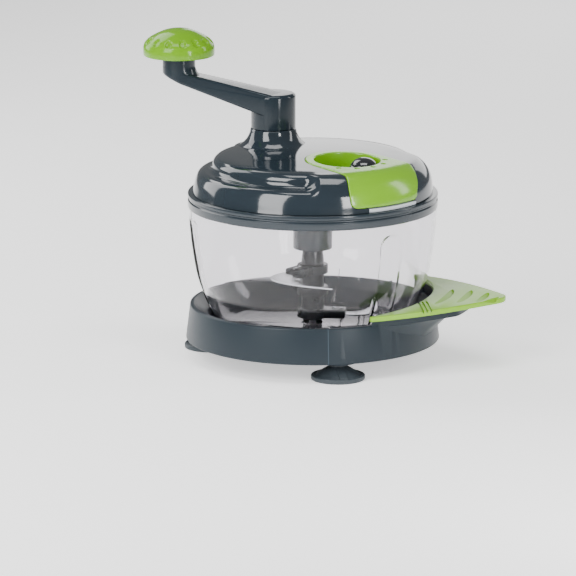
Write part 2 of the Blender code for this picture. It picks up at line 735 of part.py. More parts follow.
def make_base(axis):
    outside = base_outside()
    inside = base_inside()
    profile = outside + [(0.0, WELL_FLOOR_Z), (0.0, WELL_FLOOR_Z - BASE_WALL)] + inside[::-1]
    shell = piece("base_shell", turned(profile, LARGE_STEPS), "slate", axis)
    fuse(shell, helper("base_ribs", group(rib_bodies()), axis))
    pads = []
    holes = []
    for degrees in CUP_DEGS:
        centre = polar(CUP_CIRCLE_R, degrees).xy
        pads.append(turned([
            (0.0, PAD_TOP_Z),
            (PAD_R - PAD_EDGE, PAD_TOP_Z),
            (PAD_R, PAD_TOP_Z - PAD_EDGE),
            (PAD_R, PAD_BOTTOM_Z),
            (0.0, PAD_BOTTOM_Z),
        ], SMALL_STEPS, centre, False))
        holes.append(rod(CUP_STEM_R + GAP, PAD_BOTTOM_Z - PART_OVERRUN,
                         CUP_STEM_TOP_Z + GAP, SMALL_STEPS, centre))
    fuse(shell, helper("base_pads", group(pads), axis))
    fuse(shell, helper("leaf_bracket", bracket_body(), axis))
    cut(shell, helper("cup_holes", group(holes), axis))
    bores = []
    for degrees in LEAF_SCREW_DEGS:
        centre = polar(LEAF_SCREW_CIRCLE_R, degrees).xy
        top = leaf_screw_top(centre.x)
        wide = LEAF_SCREW_HEAD_R + GAP
        narrow = LEAF_SCREW_R + GAP
        seat = top - LEAF_SCREW_LENGTH + GAP
        low = BRACKET_FOOT_Z - PART_OVERRUN
        high = top + PART_OVERRUN
        bores.append(turned([(0.0, high), (narrow, high), (narrow, seat), (wide, seat),
                             (wide, low), (0.0, low)], TINY_STEPS, centre, False))
    cut(shell, helper("leaf_screw_bores", group(bores), axis))
    return shell


def leaf_screw_top(x):
    return leaf_under_z(x) + LEAF_SCREW_BITE


def tilted(bm):
    for vert in bm.verts:
        vert.co.z += (vert.co.x - LEAF_ROOT_X) * LEAF_SLOPE
    return bm


def leaf_outline():
    inner = [polar(LEAF_INNER_R, LEAF_HALF_DEG * (1.0 - 2.0 * step / BEND_STEPS)).xy
             for step in range(BEND_STEPS + 1)]
    start = polar(LEAF_START_R, LEAF_HALF_DEG).xy
    tip = Vector((LEAF_TIP_X - LEAF_TIP_R, 0.0))
    span = tip - start
    swing = math.degrees(math.acos(LEAF_TIP_R / span.length))
    toward = math.degrees(math.atan2(-span.y, -span.x))
    sweep = toward - swing
    nose = [tip + polar(LEAF_TIP_R, sweep * (step / CORNER_STEPS - 1.0)).xy
            for step in range(2 * CORNER_STEPS + 1)]
    return inner + [Vector((start.x, -start.y))] + nose + [start]


def crescent(radius, half_deg):
    front = []
    back = []
    for step in range(ARC_STEPS + 1):
        share = 2.0 * step / ARC_STEPS - 1.0
        swell = GROOVE_WIDTH / 2.0 * math.sqrt(max(1.0 - share * share, 0.0))
        front.append(polar(radius + swell, share * half_deg).xy)
        if 0 < step < ARC_STEPS:
            back.append(polar(radius - swell, share * half_deg).xy)
    return front + back[::-1]


def make_leaf(axis):
    top = LEAF_ROOT_Z
    low = top - LEAF_THICK
    leaf = piece("leaf_handle", tilted(prism(leaf_outline(), low, top)), "lime", axis)
    grooves = [tilted(prism(crescent(radius, half), top - GROOVE_DEPTH, top + PART_OVERRUN))
               for radius, half in zip(GROOVE_RADII, GROOVE_HALF_DEGS)]
    cut(leaf, helper("leaf_grooves", group(grooves), axis))
    slots = []
    for side in (-1.0, 1.0):
        for number in range(RIDGE_COUNT):
            aside = (number - (RIDGE_COUNT - 1) / 2.0) * RIDGE_PITCH
            low_y = aside - RIDGE_SLOT / 2.0
            high_y = aside + RIDGE_SLOT / 2.0
            outline = [(RIDGE_IN_R, low_y), (RIDGE_OUT_R, low_y),
                       (RIDGE_OUT_R, high_y), (RIDGE_IN_R, high_y)]
            slot = prism(outline, top - RIDGE_DEPTH, top + PART_OVERRUN)
            slots.append(tilted(turn_bm(slot, side * RIDGE_DEG)))
    cut(leaf, helper("leaf_ridges", group(slots), axis))
    screws = []
    bores = []
    for degrees in LEAF_SCREW_DEGS:
        centre = polar(LEAF_SCREW_CIRCLE_R, degrees).xy
        tip = leaf_screw_top(centre.x)
        head = tip - LEAF_SCREW_LENGTH
        bores.append(rod(LEAF_SCREW_R + GAP, head, tip + GAP, TINY_STEPS, centre))
        screws.append(turned([
            (0.0, tip),
            (LEAF_SCREW_R, tip),
            (LEAF_SCREW_R, head),
            (LEAF_SCREW_HEAD_R, head),
            (LEAF_SCREW_HEAD_R, head - LEAF_SCREW_HEAD),
            (0.0, head - LEAF_SCREW_HEAD),
        ], TINY_STEPS, centre, False))
    cut(leaf, helper("leaf_bores", group(bores), axis))
    for number, screw in enumerate(screws):
        piece("leaf_screw_%d" % (number + 1), screw, "steel", axis)


def make_cup(name, degrees, axis):
    place = polar(CUP_CIRCLE_R, degrees)
    pivot = empty(name + "_axis", place, axis, degrees)
    profile = [
        (0.0, CUP_STEM_TOP_Z),
        (CUP_STEM_R, CUP_STEM_TOP_Z),
        (CUP_STEM_R, CUP_DOME_Z + CUP_SKIN),
        (CUP_DOME_R, CUP_DOME_Z),
        (CUP_R - CUP_LIP_WIDTH, CUP_LIP),
        (CUP_R - CUP_LIP_WIDTH / 2.0, CUP_LIP + CUP_TAB_HEIGHT / 2.0),
        (CUP_R, CUP_LIP),
        (CUP_R, 0.0),
        (CUP_R - CUP_LIP_WIDTH, 0.0),
        (CUP_DOME_R, CUP_HOLLOW),
        (0.0, CUP_HOLLOW + CUP_SKIN / 2.0),
    ]
    cup = piece(name, turned(profile, SMALL_STEPS, (0.0, 0.0), False), "rubber", pivot)
    half = CUP_TAB_WIDTH / 2.0
    outer = CUP_R - CUP_LIP_WIDTH / 2.0
    inner = CUP_DOME_R - SINK
    sections = []
    for side in (-half, half):
        sections.append([
            Vector((inner, side, CUP_DOME_Z - CUP_SKIN / 2.0)),
            Vector((outer, side, CUP_LIP - CUP_SKIN / 2.0)),
            Vector((outer, side, CUP_LIP + CUP_TAB_HEIGHT)),
            Vector((inner, side, CUP_DOME_Z + CUP_TAB_HEIGHT / 2.0)),
        ])
    fuse(cup, helper(name + "_tab", skinned(sections, False), pivot))


# Bowl

def flute_depth(degrees, height, radius):
    """How far the wall is pressed in at one place by the nearest upright flute."""
    deepest = 0.0
    for flute in FLUTE_DEGS:
        away = (degrees - flute + 180.0) % 360.0 - 180.0
        aside = abs(math.radians(away)) * radius
        half = FLUTE_HALF_WIDTH
        bend = FLUTE_TOP_Z - FLUTE_HALF_WIDTH
        if height > bend:
            half = math.sqrt(max(FLUTE_HALF_WIDTH ** 2 - (height - bend) ** 2, 0.0))
        share = min(max((half - aside) / FLUTE_EDGE, 0.0), 1.0)
        deepest = max(deepest, FLUTE_DEPTH * share)
    return deepest


def bowl_degrees():
    flute_half = math.degrees(FLUTE_HALF_WIDTH / BOWL_SIDE[-1][0])
    marks = []
    for at, flute in enumerate(FLUTE_DEGS):
        marks += [flute + share * flute_half for share in FLUTE_STEP_SHARES]
        start = flute + FLUTE_STEP_SHARES[-1] * flute_half
        following = FLUTE_DEGS[(at + 1) % len(FLUTE_DEGS)]
        end = following + FLUTE_STEP_SHARES[0] * flute_half
        sweep = (end - start) % 360.0
        marks += [start + sweep * step / PLAIN_STEPS for step in range(1, PLAIN_STEPS)]
    return marks


def make_bowl(axis):
    inner_side = inner_line(list(BOWL_SIDE)[::-1], BOWL_WALL)[::-1]
    inner_lip = BOWL_LIP_R - BOWL_LIP_WALL
    foot_in = BOWL_FOOT_R - BOWL_FOOT_WIDTH
    foot_z = WELL_FLOOR_Z + GAP
    sections = []
    for degrees in bowl_degrees():
        profile = [
            (0.0, BOWL_FLOOR_Z),
            (foot_in, BOWL_FLOOR_Z),
            (foot_in, foot_z),
            (BOWL_FOOT_R, foot_z),
            (BOWL_FOOT_R, BOWL_FLOOR_Z),
        ]
        outer = []
        inner = []
        for (radius, height), (in_radius, in_height) in zip(BOWL_SIDE, inner_side):
            fade = min(max((height - BOWL_SIDE[0][1]) / BOWL_FLOOR, 0.0), 1.0)
            press = flute_depth(degrees, height, radius) * fade
            outer.append((radius - press, height))
            inner.append((in_radius - press, max(in_height, BOWL_FLOOR_TOP_Z)))
        profile += outer
        profile += [
            (BOWL_RIM_R, BOWL_SHOULDER_Z),
            (BOWL_LIP_R, BOWL_SHOULDER_Z),
            (BOWL_LIP_R, BOWL_LIP_Z),
            (inner_lip, BOWL_LIP_Z),
        ]
        profile += inner[::-2] + inner[:1]
        profile += [
            (BOSS_R, BOWL_FLOOR_TOP_Z),
            (BOSS_R, BOWL_FLOOR_TOP_Z + BOSS_RISE),
            (PIN_R + GAP, BOWL_FLOOR_TOP_Z + BOSS_RISE),
            (PIN_R + GAP, BOWL_FLOOR_Z + SINK),
            (0.0, BOWL_FLOOR_Z + SINK),
        ]
        sections.append([polar(radius, degrees, height) for radius, height in profile])
    piece("bowl", skinned(sections, True), "clear", axis)
    low = BOWL_FLOOR_Z + SINK + GAP
    piece("bowl_pin", rod(PIN_R, low, PIN_TOP_Z, TINY_STEPS), "steel", axis)


# Blades

def bent(start, pull, end, share):
    """A point on the curve from start to end that is pulled towards a third point."""
    rest = 1.0 - share
    return start * rest * rest + pull * 2.0 * rest * share + end * share * share


def blade_body(level, reach):
    top = level + BLADE_THICK / 2.0
    low = level - BLADE_THICK / 2.0
    half = BLADE_ROOT_WIDTH / 2.0
    tip = Vector(BLADE_TIP_SHARES) * reach
    back_pull = Vector(BLADE_BACK_PULL_SHARES) * reach
    edge_pull = Vector(BLADE_EDGE_PULL_SHARES) * reach
    rows = [
        (Vector((BLADE_ROOT_R, -half)), Vector((BLADE_ROOT_R, half)), 1.0),
        (Vector((EAR_REACH, -half)), Vector((EAR_REACH, half)), 1.0),
    ]
    for step in range(BLADE_STEPS + 1):
        share = BLADE_END_SHARE * step / BLADE_STEPS
        back = bent(Vector(BLADE_BACK_START), back_pull, tip, share)
        edge = bent(Vector(BLADE_EDGE_START), edge_pull, tip, share)
        rows.append((back, edge, BLADE_BEVEL_SHARE))
    sections = []
    for back, edge, flat in rows:
        ridge = back.lerp(edge, flat)
        sections.append([
            Vector((back.x, back.y, top)),
            Vector((ridge.x, ridge.y, top)),
            Vector((edge.x, edge.y, low)),
            Vector((back.x, back.y, low)),
        ])
    return skinned(sections, False)


def make_blades(axis):
    sleeve_end = SHAFT_TOP_Z
    bore_foot = BOWL_FLOOR_TOP_Z + BOSS_RISE + GAP
    profile = [
        (PIN_R + GAP, bore_foot),
        (PIN_R + GAP, PIN_TOP_Z + GAP),
        (0.0, PIN_TOP_Z + GAP),
        (0.0, sleeve_end),
        (SHAFT_NECK_R, sleeve_end),
        (SHAFT_R, BLADE_LEVELS[-1] + EAR_HEIGHT),
    ]
    for level in reversed(BLADE_LEVELS):
        profile += [
            (SHAFT_R, level + EAR_HEIGHT / 2.0),
            (COLLAR_R, level + EAR_HEIGHT / 2.0),
            (COLLAR_R, level - EAR_HEIGHT / 2.0),
            (SHAFT_R, level - EAR_HEIGHT / 2.0),
        ]
    profile.append((SHAFT_R, bore_foot))
    ordered = profile[3:] + profile[:3]
    shaft = piece("blade_shaft", turned(ordered, SMALL_STEPS, (0.0, 0.0), False), "black", axis)
    fuse(shaft, helper("shaft_head", hexagon(HEX_HALF, sleeve_end - SINK, HEX_TOP_Z), axis))
    names = ("blade_lower", "blade_middle", "blade_upper")
    rivets = []
    ears = []
    slots = []
    holes = []
    for name, level, degrees, reach in zip(names, BLADE_LEVELS, BLADE_DEGS, BLADE_REACHES):
        half = EAR_WIDTH / 2.0
        start = SHAFT_R - SINK
        ear = prism([(start, -half), (EAR_REACH, -half), (EAR_REACH, half), (start, half)],
                    level - EAR_HEIGHT / 2.0 + GAP, level + EAR_HEIGHT / 2.0 - GAP)
        ears.append(turn_bm(ear, degrees))
        reach_out = EAR_REACH + PART_OVERRUN
        side = BLADE_ROOT_WIDTH / 2.0 + GAP
        back = BLADE_ROOT_R - GAP
        slot = prism([(back, -side), (reach_out, -side), (reach_out, side), (back, side)],
                     level - BLADE_THICK / 2.0 - GAP, level + BLADE_THICK / 2.0 + GAP)
        slots.append(turn_bm(slot, degrees))
        blade = piece(name, turn_bm(blade_body(level, reach), degrees), "steel", axis)
        own = []
        for radius in RIVET_RADII:
            centre = polar(radius, degrees).xy
            low = level - EAR_HEIGHT / 2.0 - PART_OVERRUN
            high = level + EAR_HEIGHT / 2.0 + PART_OVERRUN
            holes.append(rod(RIVET_R + GAP, low, high, TINY_STEPS, centre))
            own.append(rod(RIVET_R + GAP, low, high, TINY_STEPS, centre))
            rivets.append(rod(RIVET_R, level - EAR_HEIGHT / 2.0, level + EAR_HEIGHT / 2.0,
                              TINY_STEPS, centre))
        cut(blade, helper(name + "_holes", group(own), axis))
    fuse(shaft, helper("shaft_ears", group(ears), axis))
    cut(shaft, helper("shaft_slots", group(slots), axis))
    cut(shaft, helper("shaft_holes", group(holes), axis))
    for number, rivet in enumerate(rivets):
        piece("blade_rivet_%d" % (number + 1), rivet, "steel", axis)


# Lid

def make_lid_base(axis):
    groove_low = RING_GROOVE_Z - RING_GROOVE_HALF
    groove_high = RING_GROOVE_Z + RING_GROOVE_HALF
    ring_in = BOWL_LIP_R + RING_PLAY
    skirt_out = BOWL_LIP_R - BOWL_LIP_WALL - SKIRT_PLAY
    profile = [
        (RING_R - RING_EDGE, RING_TOP_Z),
        (RING_R, RING_TOP_Z - RING_EDGE),
        (RING_R, groove_high),
        (RING_R - RING_GROOVE, RING_GROOVE_Z),
        (RING_R, groove_low),
        (RING_R, RING_BOTTOM_Z),
        (ring_in, RING_BOTTOM_Z),
        (ring_in, CHANNEL_TOP_Z),
        (skirt_out, CHANNEL_TOP_Z),
        (skirt_out, SKIRT_Z),
        (skirt_out - SKIRT_WALL, SKIRT_Z),
        (skirt_out - SKIRT_WALL, TRAY_Z),
        (SLEEVE_R - SINK, TRAY_Z),
        (SLEEVE_R - SINK, RING_TOP_Z),
    ]
    base = piece("lid_base", turned(profile, LARGE_STEPS), "slate", axis)
    sleeve = turned([
        (SLEEVE_BORE_R, RING_TOP_Z),
        (SLEEVE_R, RING_TOP_Z),
        (SLEEVE_R, TRAY_Z - SINK),
        (SLEEVE_R, SLEEVE_BOTTOM_Z),
        (SLEEVE_BORE_R, SLEEVE_BOTTOM_Z),
    ], SMALL_STEPS)
    fuse(base, helper("lid_sleeve", sleeve, axis))
    place = button_place()
    post = rod(SPRING_POST_R, RING_TOP_Z - SINK, SPRING_POST_TOP_Z, TINY_STEPS, place.xy)
    fuse(base, helper("spring_post", post, axis))
    holes = [rod(SCREW_R + GAP, TRAY_Z - PART_OVERRUN, RING_TOP_Z + PART_OVERRUN, TINY_STEPS,
                 polar(SCREW_CIRCLE_R, degrees).xy) for degrees in SCREW_DEGS]
    cut(base, helper("tray_holes", group(holes), axis))
    low = CHANNEL_TOP_Z - GAP - GASKET_HEIGHT
    gasket_in = BOWL_LIP_R - BOWL_LIP_WALL
    gasket = turned([
        (gasket_in, CHANNEL_TOP_Z - GAP),
        (BOWL_LIP_R, CHANNEL_TOP_Z - GAP),
        (BOWL_LIP_R, low),
        (gasket_in, low),
    ], LARGE_STEPS)
    piece("lid_gasket", gasket, "seal", axis)


def lid_side(degrees):
    """The cover's outside as (radius, height), from the middle outwards and down."""
    away = abs((degrees - INSERT_DEG + 180.0) % 360.0 - 180.0)
    share = min(max((away - FULL_HALF_DEG) / SWEEP_DEG, 0.0), 1.0)
    stepped = share * share * (3.0 - 2.0 * share)
    side = list(CROWN)
    for (full_r, full_z), (step_r, step_z) in zip(FULL_SIDE, STEPPED_SIDE):
        side.append((full_r + (step_r - full_r) * stepped, full_z + (step_z - full_z) * stepped))
    return side


def lid_degrees():
    marks = []
    for side in (-1.0, 1.0):
        for step in range(SWEEP_STEPS + 1):
            marks.append(INSERT_DEG + side * (FULL_HALF_DEG + SWEEP_DEG * step / SWEEP_STEPS))
    full = 2.0 * FULL_HALF_DEG
    pieces = round(full / COVER_STEP_DEG)
    marks += [INSERT_DEG - FULL_HALF_DEG + full * step / pieces for step in range(1, pieces)]
    start = INSERT_DEG + FULL_HALF_DEG + SWEEP_DEG
    rest = 360.0 - 2.0 * (FULL_HALF_DEG + SWEEP_DEG)
    pieces = round(rest / COVER_STEP_DEG)
    marks += [start + rest * step / pieces for step in range(1, pieces)]
    return sorted((mark + 360.0) % 360.0 for mark in marks)


def lid_form(name, rise, foot_z, axis, skip=1):
    """The cover's full form as a solid block, grown or shrunk, down to a flat foot.

    skip leaves out points on the way, for a plainer form on the inside."""
    sections = []
    for degrees in lid_degrees():
        side = inner_line(lid_side(degrees), -rise)
        side = side[:-1:skip] + side[-1:]
        side[0] = (0.0, side[0][1])
        side = [(radius, max(height, foot_z)) for radius, height in side[:-1]] + [
            (side[-1][0], foot_z)]
        side.append((0.0, foot_z))
        sections.append([polar(radius, degrees, height) for radius, height in side])
    return helper(name, skinned(sections, True), axis)


def insert_outline(grow):
    """Plan of the insert: a half round inner end that widens to the fold and beyond."""
    radius = INSERT_END_R + grow
    lean = math.degrees(math.asin((INSERT_OUT_HALF - INSERT_END_R) / (INSERT_OUT - WELL_AT)))
    start = 90.0 + lean
    sweep = 360.0 - 2.0 * start
    end = [Vector((WELL_AT, 0.0)) + polar(radius, start + sweep * step / BEND_STEPS).xy
           for step in range(BEND_STEPS + 1)]
    far = RING_R + PART_OVERRUN
    slope = math.tan(math.radians(lean))
    upper = Vector((far, end[0].y + (far - end[0].x) * slope))
    return [upper] + end + [Vector((upper.x, -upper.y))]


def tab_outline(grow):
    """The insert from outside, as (across, height): straight sides, round lower corners."""
    high = LID_BOSS_TOP_Z
    wide = INSERT_OUT_HALF + INSERT_END_R / 2.0
    fold = FULL_SIDE[2][1]
    low = TAB_BOTTOM_Z - grow
    half = TAB_BOTTOM_HALF + grow
    side = INSERT_OUT_HALF + GAP + grow
    corner = TAB_CORNER + grow
    turn = [Vector((half - corner, low + corner))
            + polar(corner, 90.0 * (step / CORNER_STEPS - 1.0)).xy
            for step in range(CORNER_STEPS + 1)]
    right = turn + [Vector((side, fold)), Vector((wide, fold)), Vector((wide, high))]
    left = [Vector((-point.x, point.y)) for point in right]
    return right + left[::-1]


def insert_zone(name, grow, axis):
    """Everything that lies over the insert's outline, down to the tab's lower edge."""
    low = RING_TOP_Z
    plan = turn_bm(prism(insert_outline(grow), low, LID_BOSS_TOP_Z + PART_OVERRUN), INSERT_DEG)
    zone = helper(name, plan, axis)
    across = tab_outline(grow)
    sections = []
    for out in (-RING_R, RING_R + 2.0 * PART_OVERRUN):
        sections.append([Vector((out, point.x, point.y)) for point in across])
    trim(zone, helper(name + "_front", turn_bm(skinned(sections, False), INSERT_DEG), axis))
    return zone


def well_place():
    return polar(WELL_AT, INSERT_DEG)


def button_place():
    turn = Matrix.Rotation(math.radians(INSERT_DEG), 3, "Z")
    return turn @ Vector((BUTTON_OUT, BUTTON_ASIDE, 0.0))


def boss_profile():
    """The flared boss under the crank, with its bore and the tube inside the lid."""
    spread = LID_BOSS_FOOT_R - LID_BOSS_R
    rise = LID_BOSS_TOP_Z - LID_BOSS_FOOT_Z
    waist = [(LID_BOSS_R + spread * out, LID_BOSS_FOOT_Z + rise * up)
             for out, up in LID_BOSS_WAIST_SHARES]
    bore = BUSH_R + GAP
    return [
        (bore, LID_BOSS_TOP_Z),
        (LID_BOSS_R, LID_BOSS_TOP_Z),
    ] + waist[::-1] + [
        (LID_BOSS_FOOT_R, LID_BOSS_FOOT_Z),
        (LID_BOSS_FOOT_R, BOSS_SKIRT_Z),
        (TUBE_R, BOSS_SKIRT_Z),
        (TUBE_R, TUBE_BOTTOM_Z),
        (bore, TUBE_BOTTOM_Z),
    ]


def make_cover(axis):
    foot = RING_TOP_Z + GAP
    cover = lid_form("lid_cover", 0.0, foot, axis)
    cover.hide_render = False
    cover.display_type = "TEXTURED"
    cover.data.materials[0] = finish_of("gloss_slate")
    cut(cover, lid_form("cover_hollow", -COVER_WALL, foot - PART_OVERRUN, axis, HOLLOW_SKIP))
    crank = (CRANK_X, CRANK_Y)
    fuse(cover, helper("crank_boss", turned(boss_profile(), MEDIUM_STEPS, crank), axis))
    under = CROWN[0][1] - COVER_WALL + SINK
    fuse(cover, helper("centre_boss", rod(CENTRE_BOSS_R, CENTRE_BOSS_Z, under, SMALL_STEPS), axis))
    bosses = [rod(SCREW_BOSS_R, foot, SCREW_BOSS_TOP_Z, TINY_STEPS,
                  polar(SCREW_CIRCLE_R, degrees).xy) for degrees in SCREW_DEGS]
    fuse(cover, helper("screw_bosses", group(bosses), axis))
    bores = [
        rod(BUSH_R + GAP, TUBE_BOTTOM_Z - PART_OVERRUN, LID_BOSS_TOP_Z + PART_OVERRUN,
            MEDIUM_STEPS, crank),
        rod(PINION_STUB_R + GAP, CENTRE_BOSS_Z - PART_OVERRUN,
            CENTRE_BOSS_Z + CENTRE_BOSS_DEPTH, SMALL_STEPS),
    ]
    bores += [rod(SCREW_R + GAP, foot - PART_OVERRUN, foot + SCREW_BITE, TINY_STEPS,
                  polar(SCREW_CIRCLE_R, degrees).xy) for degrees in SCREW_DEGS]
    cut(cover, helper("cover_bores", group(bores), axis))
    recess = insert_zone("insert_recess", GAP, axis)
    deep = INSERT_THICK - INSERT_PROUD + GAP
    cut(recess, lid_form("recess_floor", -deep, foot - PART_OVERRUN, axis))
    cut(cover, recess)
    well = rod(WELL_R + WELL_WALL + GAP, WELL_CUP_Z - PART_OVERRUN,
               LID_BOSS_TOP_Z, MEDIUM_STEPS, well_place().xy)
    cut(cover, helper("well_hole", well, axis))
    side = TONGUE_HALF + GAP
    near = TONGUE_BACK
    far = RING_R + PART_OVERRUN
    slot = prism([(near, -side), (far, -side), (far, side), (near, side)],
                 foot - PART_OVERRUN, foot + TONGUE_THICK + 2.0 * GAP)
    cut(cover, helper("tongue_slot", turn_bm(slot, INSERT_DEG), axis))
    return cover


def make_insert(axis):
    foot = RING_TOP_Z
    insert = insert_zone("well_insert", 0.0, axis)
    insert.hide_render = False
    insert.display_type = "TEXTURED"
    insert.data.materials[0] = finish_of("lime")
    under = INSERT_THICK - INSERT_PROUD
    cut(insert, lid_form("insert_under", -under, foot - PART_OVERRUN, axis))
    place = well_place().xy
    wall = rod(WELL_R + WELL_WALL, WELL_CUP_Z - WELL_WALL, LID_BOSS_TOP_Z, MEDIUM_STEPS, place)
    fuse(insert, helper("well_cup", wall, axis))
    trim(insert, lid_form("insert_top", INSERT_PROUD, foot - 2.0 * PART_OVERRUN, axis))
    cavity = turned([
        (0.0, LID_BOSS_TOP_Z),
        (WELL_R, LID_BOSS_TOP_Z),
        (WELL_R, WELL_CUP_Z + WELL_EDGE),
        (WELL_R - WELL_EDGE * ROUND_SHARE, WELL_CUP_Z + WELL_EDGE * ROUND_SHARE),
        (WELL_R - WELL_EDGE, WELL_CUP_Z),
        (0.0, WELL_CUP_Z),
    ], MEDIUM_STEPS, place, False)
    cut(insert, helper("well_cavity", cavity, axis))
    button = rod(BUTTON_R + GAP, WELL_CUP_Z - WELL_WALL - PART_OVERRUN,
                 WELL_CUP_Z + PART_OVERRUN, SMALL_STEPS, button_place().xy)
    cut(insert, helper("button_hole", button, axis))
    dimples = []
    for number in range(DIMPLE_COUNT):
        degrees = INSERT_DEG + (number - (DIMPLE_COUNT - 1) / 2.0) * DIMPLE_STEP_DEG
        spot = (well_place() + polar(DIMPLE_CIRCLE_R, degrees)).xy
        surface = surface_z(spot.length) + INSERT_PROUD
        dimples.append(rod(DIMPLE_R, surface - DIMPLE_DEPTH, surface + PART_OVERRUN,
                           TINY_STEPS, spot))
    cut(insert, helper("insert_dimples", group(dimples), axis))
    return insert


def surface_z(radius):
    """Height of the cover's top at one radius, in the sector of the insert."""
    side = list(CROWN) + list(FULL_SIDE)
    for (near_r, near_z), (far_r, far_z) in zip(side, side[1:]):
        if near_r <= radius <= far_r:
            return near_z + (far_z - near_z) * (radius - near_r) / (far_r - near_r)
    return side[-1][1]


def make_lid_screws(axis):
    screws = []
    tip = RING_TOP_Z + SCREW_BITE
    for degrees in SCREW_DEGS:
        screws.append(turned([
            (0.0, tip),
            (SCREW_R, tip),
            (SCREW_R, TRAY_Z - GAP),
            (SCREW_HEAD_R, TRAY_Z - GAP),
            (SCREW_HEAD_R, TRAY_Z - GAP - SCREW_HEAD),
            (0.0, TRAY_Z - GAP - SCREW_HEAD),
        ], TINY_STEPS, polar(SCREW_CIRCLE_R, degrees).xy, False))
    for number, screw in enumerate(screws):
        piece("lid_screw_%d" % (number + 1), screw, "steel", axis)


def make_button(axis):
    pivot = empty("button_axis", button_place(), axis)
    flange_top = WELL_CUP_Z - WELL_WALL - GAP
    flange_low = flange_top - BUTTON_FLANGE_THICK
    rise = BUTTON_TOP_Z - BUTTON_SIDE_Z
    dome = [(0.0, BUTTON_TOP_Z)]
    for step in range(CORNER_STEPS, 0, -1):
        angle = math.radians(90.0 * (step - 1) / CORNER_STEPS)
        dome.append((BUTTON_R * math.cos(angle), BUTTON_SIDE_Z + rise * math.sin(angle)))
    profile = dome + [
        (BUTTON_R, flange_top),
        (BUTTON_R + BUTTON_FLANGE, flange_top),
        (BUTTON_R + BUTTON_FLANGE, flange_low),
        (BUTTON_STEM_R, flange_low),
        (BUTTON_STEM_R, BUTTON_STEM_Z),
        (0.0, BUTTON_STEM_Z),
    ]
    piece("release_button", turned(profile, SMALL_STEPS, (0.0, 0.0), False), "black", pivot)
    low = RING_TOP_Z + GAP + SPRING_WIRE_R
    high = BUTTON_STEM_Z - GAP - SPRING_WIRE_R
    count = SPRING_TURNS * SPRING_TURN_STEPS
    sections = []
    for step in range(count + 1):
        turn = math.tau * step / SPRING_TURN_STEPS
        height = low + (high - low) * step / count
        out = Vector((math.cos(turn), math.sin(turn), 0.0))
        ring = []
        for side in range(SPRING_SIDES):
            angle = math.tau * side / SPRING_SIDES
            offset = out * math.cos(angle) + Vector((0.0, 0.0, 1.0)) * math.sin(angle)
            ring.append(out * SPRING_R + Vector((0.0, 0.0, height)) + offset * SPRING_WIRE_R)
        sections.append(ring)
    piece("button_spring", skinned(sections, False), "steel", pivot)


def make_tongue(axis):
    pivot = empty("tongue_axis", (0.0, 0.0, 0.0), axis, INSERT_DEG)
    half_deg = math.degrees(math.asin(TONGUE_HALF / TONGUE_OUT_R))
    front = [polar(TONGUE_OUT_R, half_deg * (1.0 - 2.0 * step / TONGUE_STEPS)).xy
             for step in range(TONGUE_STEPS + 1)]
    outline = [Vector((TONGUE_BACK, TONGUE_HALF))] + front + [Vector((TONGUE_BACK, -TONGUE_HALF))]
    low = RING_TOP_Z + GAP
    piece("latch_tongue", prism(outline, low, low + TONGUE_THICK), "pale", pivot)


# Gears

def gear_outline(teeth, phase_deg):
    """Outline of a spur gear whose first tooth points along phase_deg."""
    pitch_r = GEAR_MODULE * teeth / 2.0
    pressure = math.radians(PRESSURE_DEG)
    round_r = pitch_r * math.cos(pressure)
    tip_r = pitch_r + GEAR_MODULE * ADDENDUM_SHARE
    root_r = pitch_r - GEAR_MODULE * DEDENDUM_SHARE
    start_r = max(round_r, root_r)
    at_pitch = math.pi / (2.0 * teeth) - BACKLASH / (2.0 * pitch_r)
    at_base = at_pitch + math.tan(pressure) - pressure
    flank = []
    for step in range(FLANK_STEPS + 1):
        radius = start_r + (tip_r - start_r) * step / FLANK_STEPS
        lean = math.acos(min(round_r / radius, 1.0))
        flank.append((radius, at_base - (math.tan(lean) - lean)))
    if root_r < start_r - BACKLASH:
        flank.insert(0, (root_r, flank[0][1]))
    outline = []
    for tooth in range(teeth):
        middle = math.radians(phase_deg) + math.tau * tooth / teeth
        for radius, half in flank:
            outline.append(polar(radius, math.degrees(middle - half)).xy)
        for radius, half in reversed(flank):
            outline.append(polar(radius, math.degrees(middle + half)).xy)
    return outline


def make_pinion(axis):
    phase = CRANK_DEG + 180.0 / PINION_TEETH
    top = GEAR_BOTTOM_Z + GEAR_FACE
    teeth = prism(gear_outline(PINION_TEETH, phase), GEAR_BOTTOM_Z, top)
    pinion = piece("pinion_gear", teeth, "white", axis)
    low = RING_TOP_Z + GAP
    body = turned([
        (0.0, PINION_STUB_TOP_Z),
        (PINION_STUB_R, PINION_STUB_TOP_Z),
        (PINION_STUB_R, top - SINK),
        (PINION_TUBE_R, top - SINK),
        (PINION_TUBE_R, GEAR_BOTTOM_Z + SINK),
        (PINION_FLANGE_R - SINK, GEAR_BOTTOM_Z + SINK),
        (PINION_FLANGE_R - SINK, low),
        (PINION_TUBE_R, low),
        (PINION_TUBE_R, PINION_TUBE_Z),
        (0.0, PINION_TUBE_Z),
    ], SMALL_STEPS, (0.0, 0.0), False)
    fuse(pinion, helper("pinion_body", body, axis))
    socket = hexagon(HEX_HALF + GAP, PINION_TUBE_Z - PART_OVERRUN, SOCKET_TOP_Z)
    cut(pinion, helper("pinion_socket", socket, axis))


